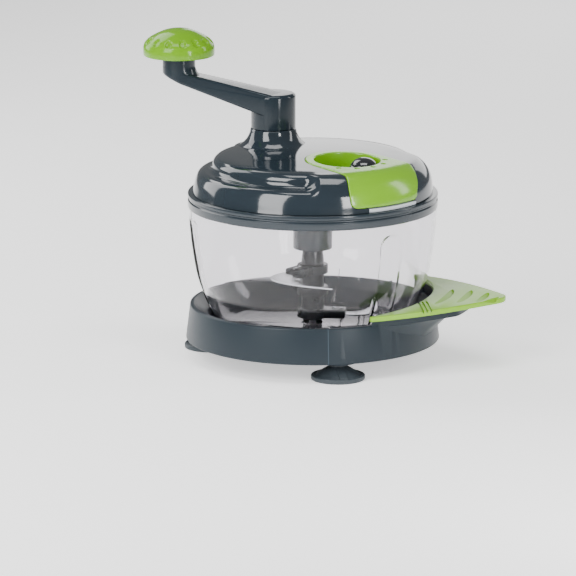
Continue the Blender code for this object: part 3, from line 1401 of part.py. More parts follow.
def make_drive_gear(crank):
    toward = CRANK_DEG + 180.0 - ARM_DEG
    top = GEAR_BOTTOM_Z + GEAR_FACE
    outline = gear_outline(DRIVE_TEETH, toward)
    gear = piece("drive_gear", prism(outline, GEAR_BOTTOM_Z, top), "white", crank)
    hub = rod(GEAR_HUB_R, GEAR_BOTTOM_Z + SINK, GEAR_HUB_TOP_Z, SMALL_STEPS)
    fuse(gear, helper("gear_hub", hub, crank))
    holes = [rod(GEAR_HOLE_R, GEAR_BOTTOM_Z - PART_OVERRUN, top + PART_OVERRUN, TINY_STEPS,
                 polar(GEAR_HOLE_CIRCLE_R, 360.0 * number / GEAR_HOLES).xy)
             for number in range(GEAR_HOLES)]
    holes.append(hexagon(SPINDLE_HEX_HALF + GAP, GEAR_BOTTOM_Z - PART_OVERRUN,
                         GEAR_HUB_TOP_Z + PART_OVERRUN))
    cut(gear, helper("gear_holes", group(holes), crank))


# Crank

def make_spindle(crank):
    flange_top = SPINDLE_FLANGE_Z + SPINDLE_FLANGE
    body = turned([
        (0.0, SPINDLE_SHOULDER_Z),
        (SPINDLE_R, SPINDLE_SHOULDER_Z),
        (SPINDLE_R, flange_top),
        (SPINDLE_FLANGE_R, flange_top),
        (SPINDLE_FLANGE_R, SPINDLE_FLANGE_Z),
        (0.0, SPINDLE_FLANGE_Z),
    ], SMALL_STEPS, (0.0, 0.0), False)
    spindle = piece("crank_spindle", body, "steel", crank)
    upper = hexagon(SPINDLE_HEX_HALF, SPINDLE_SHOULDER_Z - SINK, SPINDLE_TOP_Z)
    fuse(spindle, helper("spindle_upper_end", upper, crank))
    lower = hexagon(SPINDLE_HEX_HALF, GEAR_BOTTOM_Z, SPINDLE_FLANGE_Z + SINK)
    fuse(spindle, helper("spindle_lower_end", lower, crank))
    bore = rod(GEAR_SCREW_R + GAP, GEAR_BOTTOM_Z - PART_OVERRUN,
               GEAR_BOTTOM_Z + GEAR_SCREW_LENGTH, SMALL_STEPS)
    cut(spindle, helper("spindle_bore", bore, crank))
    head_top = GEAR_BOTTOM_Z - GAP
    screw = turned([
        (0.0, GEAR_BOTTOM_Z + GEAR_SCREW_LENGTH - GAP),
        (GEAR_SCREW_R, GEAR_BOTTOM_Z + GEAR_SCREW_LENGTH - GAP),
        (GEAR_SCREW_R, head_top),
        (GEAR_SCREW_HEAD_R, head_top),
        (GEAR_SCREW_HEAD_R, head_top - GEAR_SCREW_HEAD),
        (0.0, head_top - GEAR_SCREW_HEAD),
    ], SMALL_STEPS, (0.0, 0.0), False)
    piece("gear_screw", screw, "steel", crank)


def make_bush(axis):
    top = LID_BOSS_TOP_Z - GAP
    low = TUBE_BOTTOM_Z - GAP
    bore = SPINDLE_R + SPINDLE_PLAY
    bush = turned([
        (bore, top),
        (BUSH_R, top),
        (BUSH_R, low),
        (BUSH_FLANGE_R, low),
        (BUSH_FLANGE_R, low - BUSH_FLANGE),
        (bore, low - BUSH_FLANGE),
    ], SMALL_STEPS, (CRANK_X, CRANK_Y))
    piece("spindle_bush", bush, "white", axis)


def arm_plan():
    """Plan of the arm: the hull of the hub's circle and the post's circle."""
    lean = math.degrees(math.asin((ARM_HUB_HALF - ARM_POST_R) / THROW))
    points = []
    for step in range(ARM_STEPS + 1):
        degrees = -90.0 + lean + (180.0 - 2.0 * lean) * step / ARM_STEPS
        points.append(Vector((THROW, 0.0)) + polar(ARM_POST_R, degrees).xy)
    for step in range(ARM_STEPS + 1):
        degrees = 90.0 - lean + (180.0 + 2.0 * lean) * step / ARM_STEPS
        points.append(polar(ARM_HUB_HALF, degrees).xy)
    return points


def make_crank_arm(crank):
    top_slope = math.tan(math.radians(ARM_TOP_SLOPE_DEG))
    under_slope = math.tan(math.radians(ARM_UNDER_SLOPE_DEG))
    far = THROW + ARM_POST_R + PART_OVERRUN
    near = -HUB_R - PART_OVERRUN
    hub = turned([
        (0.0, HUB_TOP_Z),
        (HUB_R - HUB_EDGE, HUB_TOP_Z),
        (HUB_R - HUB_EDGE * ROUND_SHARE, HUB_TOP_Z - HUB_EDGE * ROUND_SHARE),
        (HUB_R, HUB_TOP_Z - HUB_EDGE),
        (HUB_R, HUB_BOTTOM_Z),
        (0.0, HUB_BOTTOM_Z),
    ], MEDIUM_STEPS, (0.0, 0.0), False)
    arm = piece("crank_arm", hub, "gloss_slate", crank)
    shoulder = HUB_TOP_Z - HUB_EDGE * ROUND_SHARE
    side = [
        (0.0, shoulder),
        (far, shoulder + far * top_slope),
        (far, ARM_UNDER_Z + (far - ARM_HUB_HALF) * under_slope),
        (ARM_HUB_HALF, ARM_UNDER_Z),
        (near, ARM_UNDER_Z),
        (near, shoulder),
    ]
    bar = helper("arm_bar", prism(arm_plan(), ARM_UNDER_Z - PART_OVERRUN, POST_TOP_Z), crank)
    sections = []
    for across in (-HUB_R, HUB_R):
        sections.append([Vector((x, across, z)) for x, z in side])
    trim(bar, helper("arm_side", skinned(sections, False), crank))
    soft = bar.modifiers.new("soft_edges", "BEVEL")
    soft.width = ARM_EDGE
    soft.segments = EDGE_SEGMENTS
    soft.limit_method = "ANGLE"
    soft.angle_limit = math.radians(SMOOTH_DEG)
    fuse(arm, bar)
    post_low = ARM_UNDER_Z + (THROW + ARM_POST_R - ARM_HUB_HALF) * under_slope + ARM_EDGE
    post = rod(ARM_POST_R - GAP, post_low, POST_TOP_Z, SMALL_STEPS, (THROW, 0.0))
    fuse(arm, helper("knob_post", post, crank))
    socket = hexagon(SPINDLE_HEX_HALF + GAP, HUB_BOTTOM_Z - PART_OVERRUN, SPINDLE_TOP_Z + GAP)
    cut(arm, helper("hub_socket", socket, crank))
    hole = rod(KNOB_PIN_R + GAP, KNOB_PIN_HOLE_Z, POST_TOP_Z + PART_OVERRUN, TINY_STEPS,
               (THROW, 0.0))
    cut(arm, helper("pin_hole", hole, crank))
    head_low = KNOB_SLEEVE_TOP_Z + GAP
    pin = turned([
        (0.0, head_low + KNOB_PIN_HEAD),
        (KNOB_PIN_HEAD_R, head_low + KNOB_PIN_HEAD),
        (KNOB_PIN_HEAD_R, head_low),
        (KNOB_PIN_R, head_low),
        (KNOB_PIN_R, KNOB_PIN_HOLE_Z + GAP),
        (0.0, KNOB_PIN_HOLE_Z + GAP),
    ], TINY_STEPS, (THROW, 0.0), False)
    piece("knob_pin", pin, "steel", crank)


def make_knob(crank):
    pivot = empty("knob_axis", (THROW, 0.0, 0.0), crank)
    outside = list(KNOB_SIDE)[::-1]
    inside = inner_line(outside, KNOB_WALL)
    inside[0] = (0.0, outside[0][1] - KNOB_WALL)
    upper = [(radius, height) for radius, height in inside if height > KNOB_WEB_Z + KNOB_WALL]
    upper = upper[::2]
    bore = KNOB_PIN_R + GAP
    wall_r = KNOB_SIDE[1][0] - KNOB_WALL
    profile = outside + [
        (KNOB_SIDE[0][0] - KNOB_WALL, KNOB_BOTTOM_Z),
        (wall_r, KNOB_WEB_Z),
        (KNOB_SLEEVE_R, KNOB_WEB_Z),
        (KNOB_SLEEVE_R, KNOB_BOTTOM_Z),
        (bore, KNOB_BOTTOM_Z),
        (bore, KNOB_SLEEVE_TOP_Z),
        (KNOB_SLEEVE_R, KNOB_SLEEVE_TOP_Z),
        (KNOB_SLEEVE_R, KNOB_WEB_Z + KNOB_WALL),
        (wall_r - SINK, KNOB_WEB_Z + KNOB_WALL),
    ] + upper[::-1]
    knob = piece("knob", turned(profile, MEDIUM_STEPS, (0.0, 0.0), False), "lime", pivot)
    dents = bmesh.new()
    for number in range(KNOB_DIMPLES):
        spot = polar(KNOB_DIMPLE_CIRCLE_R, 360.0 * (number + 0.5) / KNOB_DIMPLES, KNOB_DIMPLE_Z)
        bmesh.ops.create_icosphere(dents, subdivisions=EDGE_SEGMENTS, radius=KNOB_DIMPLE_R,
                                   matrix=Matrix.Translation(spot))
    cut(knob, helper("knob_dents", dents, pivot))


def clear_scene():
    for old in list(bpy.data.objects):
        bpy.data.objects.remove(old, do_unlink=True)


def main():
    clear_scene()
    axis = empty("bowl_axis", (AXIS_X, 0.0, 0.0))
    make_base(axis)
    make_leaf(axis)
    for name, degrees in zip(("cup_front", "cup_rear", "cup_side"), CUP_DEGS):
        make_cup(name, degrees, axis)
    make_bowl(axis)
    make_blades(axis)
    make_lid_base(axis)
    make_cover(axis)
    make_insert(axis)
    make_lid_screws(axis)
    make_button(axis)
    make_tongue(axis)
    make_pinion(axis)
    make_bush(axis)
    crank = empty("crank_axis", (CRANK_X, CRANK_Y, 0.0), axis, ARM_DEG)
    make_spindle(crank)
    make_drive_gear(crank)
    make_crank_arm(crank)
    make_knob(crank)


main()
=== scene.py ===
"""Looks of a hand cranked food chopper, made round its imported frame.

The file is laid out as an add-on. Every piece of the chopper has an operator, and the
sizes and colours that someone would want to change are properties in the sidebar. All
lengths are in metres and all angles in degrees, in the frame's own axes: the handle's
leaf points along +X and the chopper stands on z = 0.
"""

import json
import math

import bmesh
import bpy
import numpy as np
from bpy.props import (
    FloatProperty,
    FloatVectorProperty,
    IntProperty,
    PointerProperty,
)
from mathutils import Matrix, Vector


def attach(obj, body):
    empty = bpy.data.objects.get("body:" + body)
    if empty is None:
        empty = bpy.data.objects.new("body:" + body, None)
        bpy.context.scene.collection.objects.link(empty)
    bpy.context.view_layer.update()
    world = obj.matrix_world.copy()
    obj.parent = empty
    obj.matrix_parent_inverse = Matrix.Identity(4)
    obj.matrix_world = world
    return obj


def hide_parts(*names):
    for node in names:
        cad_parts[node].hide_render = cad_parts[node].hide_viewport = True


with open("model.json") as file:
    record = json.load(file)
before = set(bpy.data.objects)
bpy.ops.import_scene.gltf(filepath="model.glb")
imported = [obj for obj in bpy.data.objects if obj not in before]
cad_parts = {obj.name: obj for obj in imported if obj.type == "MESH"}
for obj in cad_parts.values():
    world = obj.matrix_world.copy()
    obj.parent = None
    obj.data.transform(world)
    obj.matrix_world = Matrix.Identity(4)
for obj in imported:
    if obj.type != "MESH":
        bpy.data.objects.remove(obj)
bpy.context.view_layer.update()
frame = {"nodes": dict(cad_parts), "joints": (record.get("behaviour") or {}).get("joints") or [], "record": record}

bl_info = {
    "name": "Hand cranked food chopper",
    "version": (1, 0, 0),
    "blender": (4, 5, 0),
    "location": "3D View > Sidebar > Chopper",
    "description": "Builds the visible pieces of a hand cranked food chopper",
    "category": "Add Mesh",
}

# Places taken from the frame

JOINTS = {joint["name"]: joint for joint in frame["joints"]}
AXIS = Vector(JOINTS["blade_turn"]["pos_m"]).xy
CRANK = Vector(JOINTS["crank_turn"]["pos_m"]).xy
KNOB = Vector(JOINTS["knob_turn"]["pos_m"]).xy
LATCH = Vector(JOINTS["latch_slide"]["axis"]).xy
INSERT_DEG = math.degrees(math.atan2(-LATCH.y, -LATCH.x))
ARM_DEG = math.degrees(math.atan2(KNOB.y - CRANK.y, KNOB.x - CRANK.x))
THROW = (KNOB - CRANK).length
GLOW_BEHIND = 0.70
GLOW_R = 1.35
GLOW_FADE = 0.50
MERGE = 1e-6

# Base, from the foot of its wall over the rim and down into the bowl's seat.
# Every corner is (radius, height, rounding).

CUP_DEGS = (-60.0, 60.0, 180.0)
CUP_CIRCLE_R = 0.090
BASE_CORNERS = (
    (0.1070, 0.0155, 0.0010),
    (0.1033, 0.0455, 0.0016),
    (0.0999, 0.0455, 0.0010),
    (0.0880, 0.0375, 0.0030),
    (0.0838, 0.0264, 0.0050),
    (0.0800, 0.0226, 0.0020),
    (0.0000, 0.0226, 0.0000),
    (0.0000, 0.0202, 0.0000),
    (0.0800, 0.0202, 0.0020),
    (0.0838, 0.0240, 0.0030),
    (0.0880, 0.0351, 0.0020),
    (0.0987, 0.0431, 0.0008),
    (0.1009, 0.0431, 0.0008),
    (0.1046, 0.0155, 0.0004),
)
PAD_CORNERS = (
    (0.0000, 0.0218, 0.0000),
    (0.0166, 0.0218, 0.0016),
    (0.0166, 0.0145, 0.0010),
    (0.0000, 0.0145, 0.0000),
)
CUP_CORNERS = (
    (0.0000, 0.0185, 0.0000),
    (0.0070, 0.0185, 0.0008),
    (0.0070, 0.0112, 0.0010),
    (0.0110, 0.0092, 0.0030),
    (0.0195, 0.0036, 0.0012),
    (0.0207, 0.0043, 0.0006),
    (0.0225, 0.0036, 0.0009),
    (0.0225, 0.0000, 0.0006),
    (0.0195, 0.0000, 0.0006),
    (0.0110, 0.0042, 0.0040),
    (0.0000, 0.0052, 0.0000),
)
CUP_STEM_R = 0.0073
CUP_STEM_TOP_Z = 0.0188
PAD_FOOT_Z = 0.0100
RIB_FEET = (                     # a rib's outline, radius and height
    (0.1046, 0.0170),
    (0.1015, 0.0443),
    (0.0990, 0.0443),
    (0.0880, 0.0363),
    (0.0838, 0.0252),
    (0.0800, 0.0214),
    (0.0800, 0.0170),
)

# Leaf shaped handle

LEAF_INNER_R = 0.1015
LEAF_START_R = 0.1042
LEAF_HALF_DEG = 46.0
LEAF_TIP_X = 0.1675
LEAF_TIP_R = 0.0120
LEAF_NOSE_DEG = 45.0             # where the tip's rounding runs into the edges
LEAF_EDGE_DEG = -22.0            # where the curved edges point at their start
LEAF_EDGE_PULLS = (0.0420, 0.0340)
LEAF_THICK = 0.0043
LEAF_ROOT_Z = 0.0552
LEAF_SLOPE = math.tan(math.radians(3.4))
LEAF_BANK = math.tan(math.radians(1.6))
LEAF_ROOT_X = LEAF_START_R * math.cos(math.radians(LEAF_HALF_DEG))
GROOVES = (                      # direction and radius at both ends
    (-14.5, 0.1180, 11.0, 0.1180),
    (-10.5, 0.1345, 8.5, 0.1345),
    (-8.5, 0.1500, 4.5, 0.1500),
    (-11.0, 0.1532, -1.0, 0.1622),
)
GROOVE_WIDTH = 0.0064
GROOVE_SHALLOW = 0.0002
GROOVE_END_SHARE = 0.2
RIDGE_DEG = -18.7
RIDGE_CIRCLE_R = 0.1140
RIDGE_TURN_DEG = -68.0
RIDGE_LENGTH = 0.0350
RIDGE_PITCH = 0.0034
RIDGE_SLOT = 0.0016
BRACKET_HALF_DEG = 45.0
BRACKET_INSET = 0.0050
BRACKET_REACH_R = 0.1380
BRACKET_FOOT_Z = 0.0260
BRACKET_DEPTH = 0.0050
BASE_RIM_R = 0.1033
BASE_TOP_Z = 0.0455

# Bowl

BOWL_FLOOR_Z = 0.0252
BOWL_SIDE = (
    (0.0720, 0.0259),
    (0.0785, 0.0290),
    (0.0838, 0.0355),
    (0.0895, 0.0470),
    (0.0968, 0.0680),
    (0.1012, 0.0930),
    (0.1031, 0.1100),
    (0.1041, 0.1205),
)
BOWL_RIM = (
    (0.1043, 0.1282),
    (0.1029, 0.1282),
    (0.1029, 0.1340),
    (0.1010, 0.1340),
)
BOWL_FOOT = (
    (0.0000, 0.0252),
    (0.0600, 0.0252),
    (0.0600, 0.0229),
    (0.0640, 0.0229),
    (0.0640, 0.0252),
)
FLUTE_DEGS = (-34.0, 86.0, 206.0)
FLUTE_TOP_Z = 0.1205
FLUTE_FADE = 0.0024
FLOOR_BOSS_R = 0.0080
FLOOR_BOSS_RISE = 0.0035
PIN_R = 0.0030
PIN_TOP_Z = 0.0870

# Blades

BLADE_LEVELS = (0.0365, 0.0555, 0.0745)
BLADE_DEGS = (10.0, 130.0, 250.0)
BLADE_REACHES = (0.0710, 0.0800, 0.0840)
BLADE_NAMES = ("blade_lower", "blade_middle", "blade_upper")
BLADE_ROOT_R = 0.0140
BLADE_ROOT_HALF = 0.0060
EAR_REACH = 0.0280
EAR_HALF = 0.0080
EAR_HALF_HEIGHT = 0.0038
RIVET_RADII = (0.0185, 0.0240)
SHAFT_R = 0.0095
COLLAR_R = 0.0130
SHAFT_TOP_Z = 0.0917
HEX_HALF = 0.0055
HEX_TOP_Z = 0.1060

# Lid

RING_CORNERS = (
    (0.1050, 0.1404, 0.0009),
    (0.1050, 0.1372, 0.0004),
    (0.1041, 0.1362, 0.0004),
    (0.1041, 0.1354, 0.0004),
    (0.1050, 0.1344, 0.0004),
    (0.1050, 0.1285, 0.0007),
    (0.1037, 0.1285, 0.0002),
    (0.1037, 0.1366, 0.0002),
    (0.0998, 0.1366, 0.0002),
    (0.0998, 0.1300, 0.0004),
    (0.0978, 0.1300, 0.0004),
    (0.0978, 0.1380, 0.0004),
    (0.0165, 0.1380, 0.0010),
    (0.0165, 0.0920, 0.0006),
    (0.0133, 0.0920, 0.0006),
    (0.0133, 0.1404, 0.0004),
)
GASKET_CORNERS = (
    (0.1010, 0.1363, 0.0004),
    (0.1029, 0.1363, 0.0004),
    (0.1029, 0.1343, 0.0007),
    (0.1010, 0.1343, 0.0007),
)
CROWN = (
    (0.0000, 0.1742),
    (0.0320, 0.1736),
    (0.0580, 0.1725),
)
STEPPED_SIDE = (
    (0.0760, 0.1714),
    (0.0804, 0.1702),
    (0.0834, 0.1670),
    (0.0846, 0.1622),
    (0.0866, 0.1600),
    (0.0920, 0.1592),
    (0.0956, 0.1574),
    (0.0982, 0.1525),
    (0.1010, 0.1407),
)
FULL_SIDE = (
    (0.0760, 0.1714),
    (0.0838, 0.1709),
    (0.0874, 0.1700),
    (0.0900, 0.1682),
    (0.0934, 0.1650),
    (0.0967, 0.1604),
    (0.0990, 0.1552),
    (0.1002, 0.1500),
    (0.1010, 0.1407),
)
FULL_SECTOR = ((-38.0, 9.0), (48.0, 16.0))   # where the full side ends, and over how far it fades
COVER_WALL = 0.0028
BOSS_CURVE = (
    (0.0193, 0.1870),
    (0.0203, 0.1824),
    (0.0223, 0.1782),
    (0.0254, 0.1745),
    (0.0292, 0.1718),
    (0.0330, 0.1708),
)
BOSS_BORE_R = 0.0105
BOSS_TUBE_R = 0.0140
BOSS_TUBE_Z = 0.1600
BOSS_SKIRT_Z = 0.1690
PARTING_DEG = -66.4
COVER_FOOT_Z = 0.1407

# Insert, release button and latch tongue

INSERT_END_R = 0.0350
WELL_AT = 0.0420
WELL_R = 0.0275
WELL_WALL = 0.0017
WELL_FLOOR_Z = 0.1600
WELL_ROUND = 0.0030
TAB_LEFT = (                     # the tab's edges from the fold down: aside and height
    (0.0363, 0.1700),
    (0.0402, 0.1606),
    (0.0412, 0.1500),
)
TAB_RIGHT = (
    (0.0367, 0.1690),
    (0.0338, 0.1600),
    (0.0288, 0.1500),
)
TAB_FOOT_Z = 0.1448
TAB_CORNER = 0.0055
INSERT_UNDER = 0.0012
RECESS_DEPTH = 0.0015
DIMPLE_CIRCLE_R = 0.0320
DIMPLE_R = 0.0020
DIMPLE_STEP_DEG = 27.7
BUTTON_AT = (0.0502, 0.0118)
BUTTON_R = 0.0126
BUTTON_SIDE_Z = 0.1648
BUTTON_TOP_Z = 0.1750
BUTTON_CORNERS = (
    (0.0126, 0.1580, 0.0002),
    (0.0140, 0.1580, 0.0004),
    (0.0140, 0.1560, 0.0004),
    (0.0050, 0.1560, 0.0006),
    (0.0050, 0.1500, 0.0006),
    (0.0000, 0.1500, 0.0000),
)
TONGUE_R = 0.1019
TONGUE_BACK = 0.0840
TONGUE_HALF = 0.0260
TONGUE_FOOT_Z = 0.1407
TONGUE_TOP_Z = 0.1437

# Crank and knob

HUB_R = 0.0189
HUB_FOOT_Z = 0.1873
HUB_TOP_Z = 0.2170
ARM_HUB_HALF = 0.0165
POST_R = 0.0137
POST_TOP_Z = 0.2506
ARM_UNDER_Z = 0.1955
ARM_TOP_SLOPE = math.tan(math.radians(15.8))
ARM_UNDER_SLOPE = math.tan(math.radians(27.1))
SOCKET_HALF = 0.0063
SOCKET_TOP_Z = 0.2123
KNOB_SIDE = (
    (0.0298, 0.2510),
    (0.0301, 0.2550),
    (0.0299, 0.2585),
    (0.0290, 0.2614),
    (0.0262, 0.2648),
    (0.0205, 0.2684),
    (0.0120, 0.2722),
    (0.0055, 0.2736),
    (0.0000, 0.2740),
)
KNOB_WALL = 0.0026
KNOB_WEB_Z = 0.2560
KNOB_SLEEVE_R = 0.0070
KNOB_SLEEVE_TOP_Z = 0.2616
KNOB_BORE_R = 0.0033
KNOB_DIMPLE_R = 0.0034
KNOB_DIMPLE_Z = 0.2644


# Plain geometry

def polar(radius, degrees, height=0.0):
    angle = math.radians(degrees)
    return Vector((radius * math.cos(angle), radius * math.sin(angle), height))


def at_axis(point):
    return Vector((point[0] + AXIS.x, point[1] + AXIS.y, point[2]))


def smooth_step(value):
    share = min(max(value, 0.0), 1.0)
    return share * share * (3.0 - 2.0 * share)


def eased(corners, steps=6, ring=True):
    """Round the corners of an outline, given as (x, y, radius)."""
    outline = []
    count = len(corners)
    for at, (x, y, radius) in enumerate(corners):
        here = Vector((x, y))
        if radius <= 0.0 or (not ring and at in (0, count - 1)):
            outline.append((here.x, here.y))
            continue
        back = Vector(corners[at - 1][:2]) - here
        ahead = Vector(corners[(at + 1) % count][:2]) - here
        opening = back.angle(ahead)
        if opening > math.radians(179.0):
            outline.append((here.x, here.y))
            continue
        reach = min(radius / math.tan(opening / 2.0), back.length * 0.48, ahead.length * 0.48)
        size = reach * math.tan(opening / 2.0)
        back.normalize()
        ahead.normalize()
        centre = here + (back + ahead).normalized() * (size / math.sin(opening / 2.0))
        first = here + back * reach - centre
        last = here + ahead * reach - centre
        sweep = math.atan2(first.x * last.y - first.y * last.x, first.dot(last))
        for step in range(steps + 1):
            turned = Matrix.Rotation(sweep * step / steps, 2) @ first
            outline.append((centre.x + turned.x, centre.y + turned.y))
    return outline


def flowing(points, per_span):
    """A smooth curve through points, with a level start."""
    known = [np.array(point, float) for point in points]
    padded = [np.array((-known[1][0], known[1][1]))] + known + [2.0 * known[-1] - known[-2]]
    curve = []
    for at in range(1, len(padded) - 2):
        p0, p1, p2, p3 = padded[at - 1:at + 3]
        t1 = math.sqrt(np.linalg.norm(p1 - p0))
        t2 = t1 + math.sqrt(np.linalg.norm(p2 - p1))
        t3 = t2 + math.sqrt(np.linalg.norm(p3 - p2))
        for step in range(per_span):
            t = t1 + (t2 - t1) * step / per_span
            a1 = p0 * (t1 - t) / t1 + p1 * t / t1
            a2 = p1 * (t2 - t) / (t2 - t1) + p2 * (t - t1) / (t2 - t1)
            a3 = p2 * (t3 - t) / (t3 - t2) + p3 * (t - t2) / (t3 - t2)
            b1 = a1 * (t2 - t) / t2 + a2 * t / t2
            b2 = a2 * (t3 - t) / (t3 - t1) + a3 * (t - t1) / (t3 - t1)
            curve.append(b1 * (t2 - t) / (t2 - t1) + b2 * (t - t1) / (t2 - t1))
    curve.append(known[-1])
    return np.array(curve)


def set_in(line, depth):
    """A line that lies a wall's depth inside a side that runs outwards and down."""
    line = np.asarray(line, float)
    along = np.gradient(line, axis=0)
    along /= np.linalg.norm(along, axis=1)[:, None]
    return line + np.stack([along[:, 1], -along[:, 0]], axis=1) * depth


# Meshes

def woven(rows, round_rows=False, round_columns=True):
    """The points and faces of a surface through rows of points."""
    rows = np.asarray([[tuple(point) for point in row] for row in rows], float)
    high, wide = rows.shape[:2]
    faces = []
    for row in range(high if round_rows else high - 1):
        after = (row + 1) % high
        for column in range(wide if round_columns else wide - 1):
            beside = (column + 1) % wide
            faces.append((row * wide + column, row * wide + beside,
                          after * wide + beside, after * wide + column))
    return rows.reshape(-1, 3), faces


def solid(name, points, faces, sharp_deg=32.0):
    """A closed piece with merged points, outward faces and smooth shading."""
    mesh = bpy.data.meshes.new(name)
    mesh.from_pydata([tuple(point) for point in points], [], [tuple(face) for face in faces])
    bm = bmesh.new()
    bm.from_mesh(mesh)
    bmesh.ops.remove_doubles(bm, verts=bm.verts, dist=MERGE)
    bmesh.ops.dissolve_degenerate(bm, edges=bm.edges, dist=MERGE)
    bmesh.ops.recalc_face_normals(bm, faces=bm.faces)
    if bm.calc_volume(signed=True) < 0.0:
        bmesh.ops.reverse_faces(bm, faces=bm.faces)
    bm.to_mesh(mesh)
    bm.free()
    return placed(name, mesh, sharp_deg)


def placed(name, mesh, sharp_deg=32.0):
    mesh.shade_smooth()
    mesh.set_sharp_from_angle(angle=math.radians(sharp_deg))
    piece = bpy.data.objects.new(name, mesh)
    bpy.context.scene.collection.objects.link(piece)
    return piece


def turned(name, profile, steps, centre=AXIS, ring=True, sharp_deg=32.0):
    """Turn a profile of (radius, height) about an upright line."""
    rows = [[(centre[0] + radius * math.cos(math.tau * step / steps),
              centre[1] + radius * math.sin(math.tau * step / steps), height)
             for step in range(steps)] for radius, height in profile]
    return solid(name, *woven(rows, round_rows=ring), sharp_deg)


def drum(name, radius, low, high, centre, steps=64):
    return turned(name, [(0.0, high), (radius, high), (radius, low), (0.0, low)], steps,
                  centre, ring=False)


def slab(name, outline, low, high, sharp_deg=32.0):
    """Raise a flat outline; low and high are heights or functions of a point."""
    def level(height, point):
        return height(point) if callable(height) else height
    lower = [(x, y, level(low, (x, y))) for x, y in outline]
    upper = [(x, y, level(high, (x, y))) for x, y in outline]
    count = len(outline)
    faces = [(at, (at + 1) % count, (at + 1) % count + count, at + count) for at in range(count)]
    faces += [tuple(range(count)), tuple(range(count, 2 * count))]
    return solid(name, lower + upper, faces, sharp_deg)


def settle(piece, sharp_deg=32.0):
    """Turn what the modifiers make into the piece's own plain mesh."""
    graph = bpy.context.evaluated_depsgraph_get()
    mesh = bpy.data.meshes.new_from_object(piece.evaluated_get(graph))
    rough = piece.data
    piece.modifiers.clear()
    piece.data = mesh
    bpy.data.meshes.remove(rough)
    mesh.name = piece.name
    mesh.shade_smooth()
    mesh.set_sharp_from_angle(angle=math.radians(sharp_deg))
    return piece


def carve(piece, tool, operation="DIFFERENCE", sharp_deg=32.0):
    """Cut a piece with a tool, or join the two, and drop the tool."""
    modifier = piece.modifiers.new(operation.lower(), "BOOLEAN")
    modifier.operation = operation
    modifier.solver = "MANIFOLD"
    modifier.object = tool
    settle(piece, sharp_deg)
    bpy.data.objects.remove(tool, do_unlink=True)
    return piece


def join(piece, tool):
    return carve(piece, tool, "UNION")


def soften(piece, width, segments=3, limit_deg=40.0):
    bevel = piece.modifiers.new("soft_edges", "BEVEL")
    bevel.width = width
    bevel.segments = segments
    bevel.limit_method = "ANGLE"
    bevel.angle_limit = math.radians(limit_deg)
    return settle(piece)


def spin_about_axis(piece, degrees, centre=AXIS):
    there = Matrix.Translation((centre[0], centre[1], 0.0))
    turn = Matrix.Rotation(math.radians(degrees), 4, "Z")
    piece.data.transform(there @ turn @ there.inverted())
    return piece


def dress(piece, finish, body, *nodes):
    """Give a piece its finish and its body, and hide the frame's pieces that it stands for."""
    piece.data.materials.clear()
    piece.data.materials.append(finish)
    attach(piece, body)
    if nodes:
        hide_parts(*nodes)
        first = nodes[0]
        for row in frame["record"]["subparts"]:
            row["node"] == first
    return piece


# Finishes

class Wire:
    """An output in a shader, so that sums are written as plain expressions."""

    def __init__(self, finish, socket):
        self.finish = finish
        self.socket = socket

    def math(self, operation, *values):
        return self.finish.node("ShaderNodeMath", {"operation": operation}, *values)

    def __add__(self, other):
        return self.math("ADD", self, other)

    def __sub__(self, other):
        return self.math("SUBTRACT", self, other)

    def __mul__(self, other):
        return self.math("MULTIPLY", self, other)

    def __truediv__(self, other):
        return self.math("DIVIDE", self, other)

    def __pow__(self, other):
        return self.math("POWER", self, other)

    def __radd__(self, other):
        return self.math("ADD", other, self)

    def __rsub__(self, other):
        return self.math("SUBTRACT", other, self)

    def __rmul__(self, other):
        return self.math("MULTIPLY", other, self)

    def size(self):
        return self.math("ABSOLUTE", self)


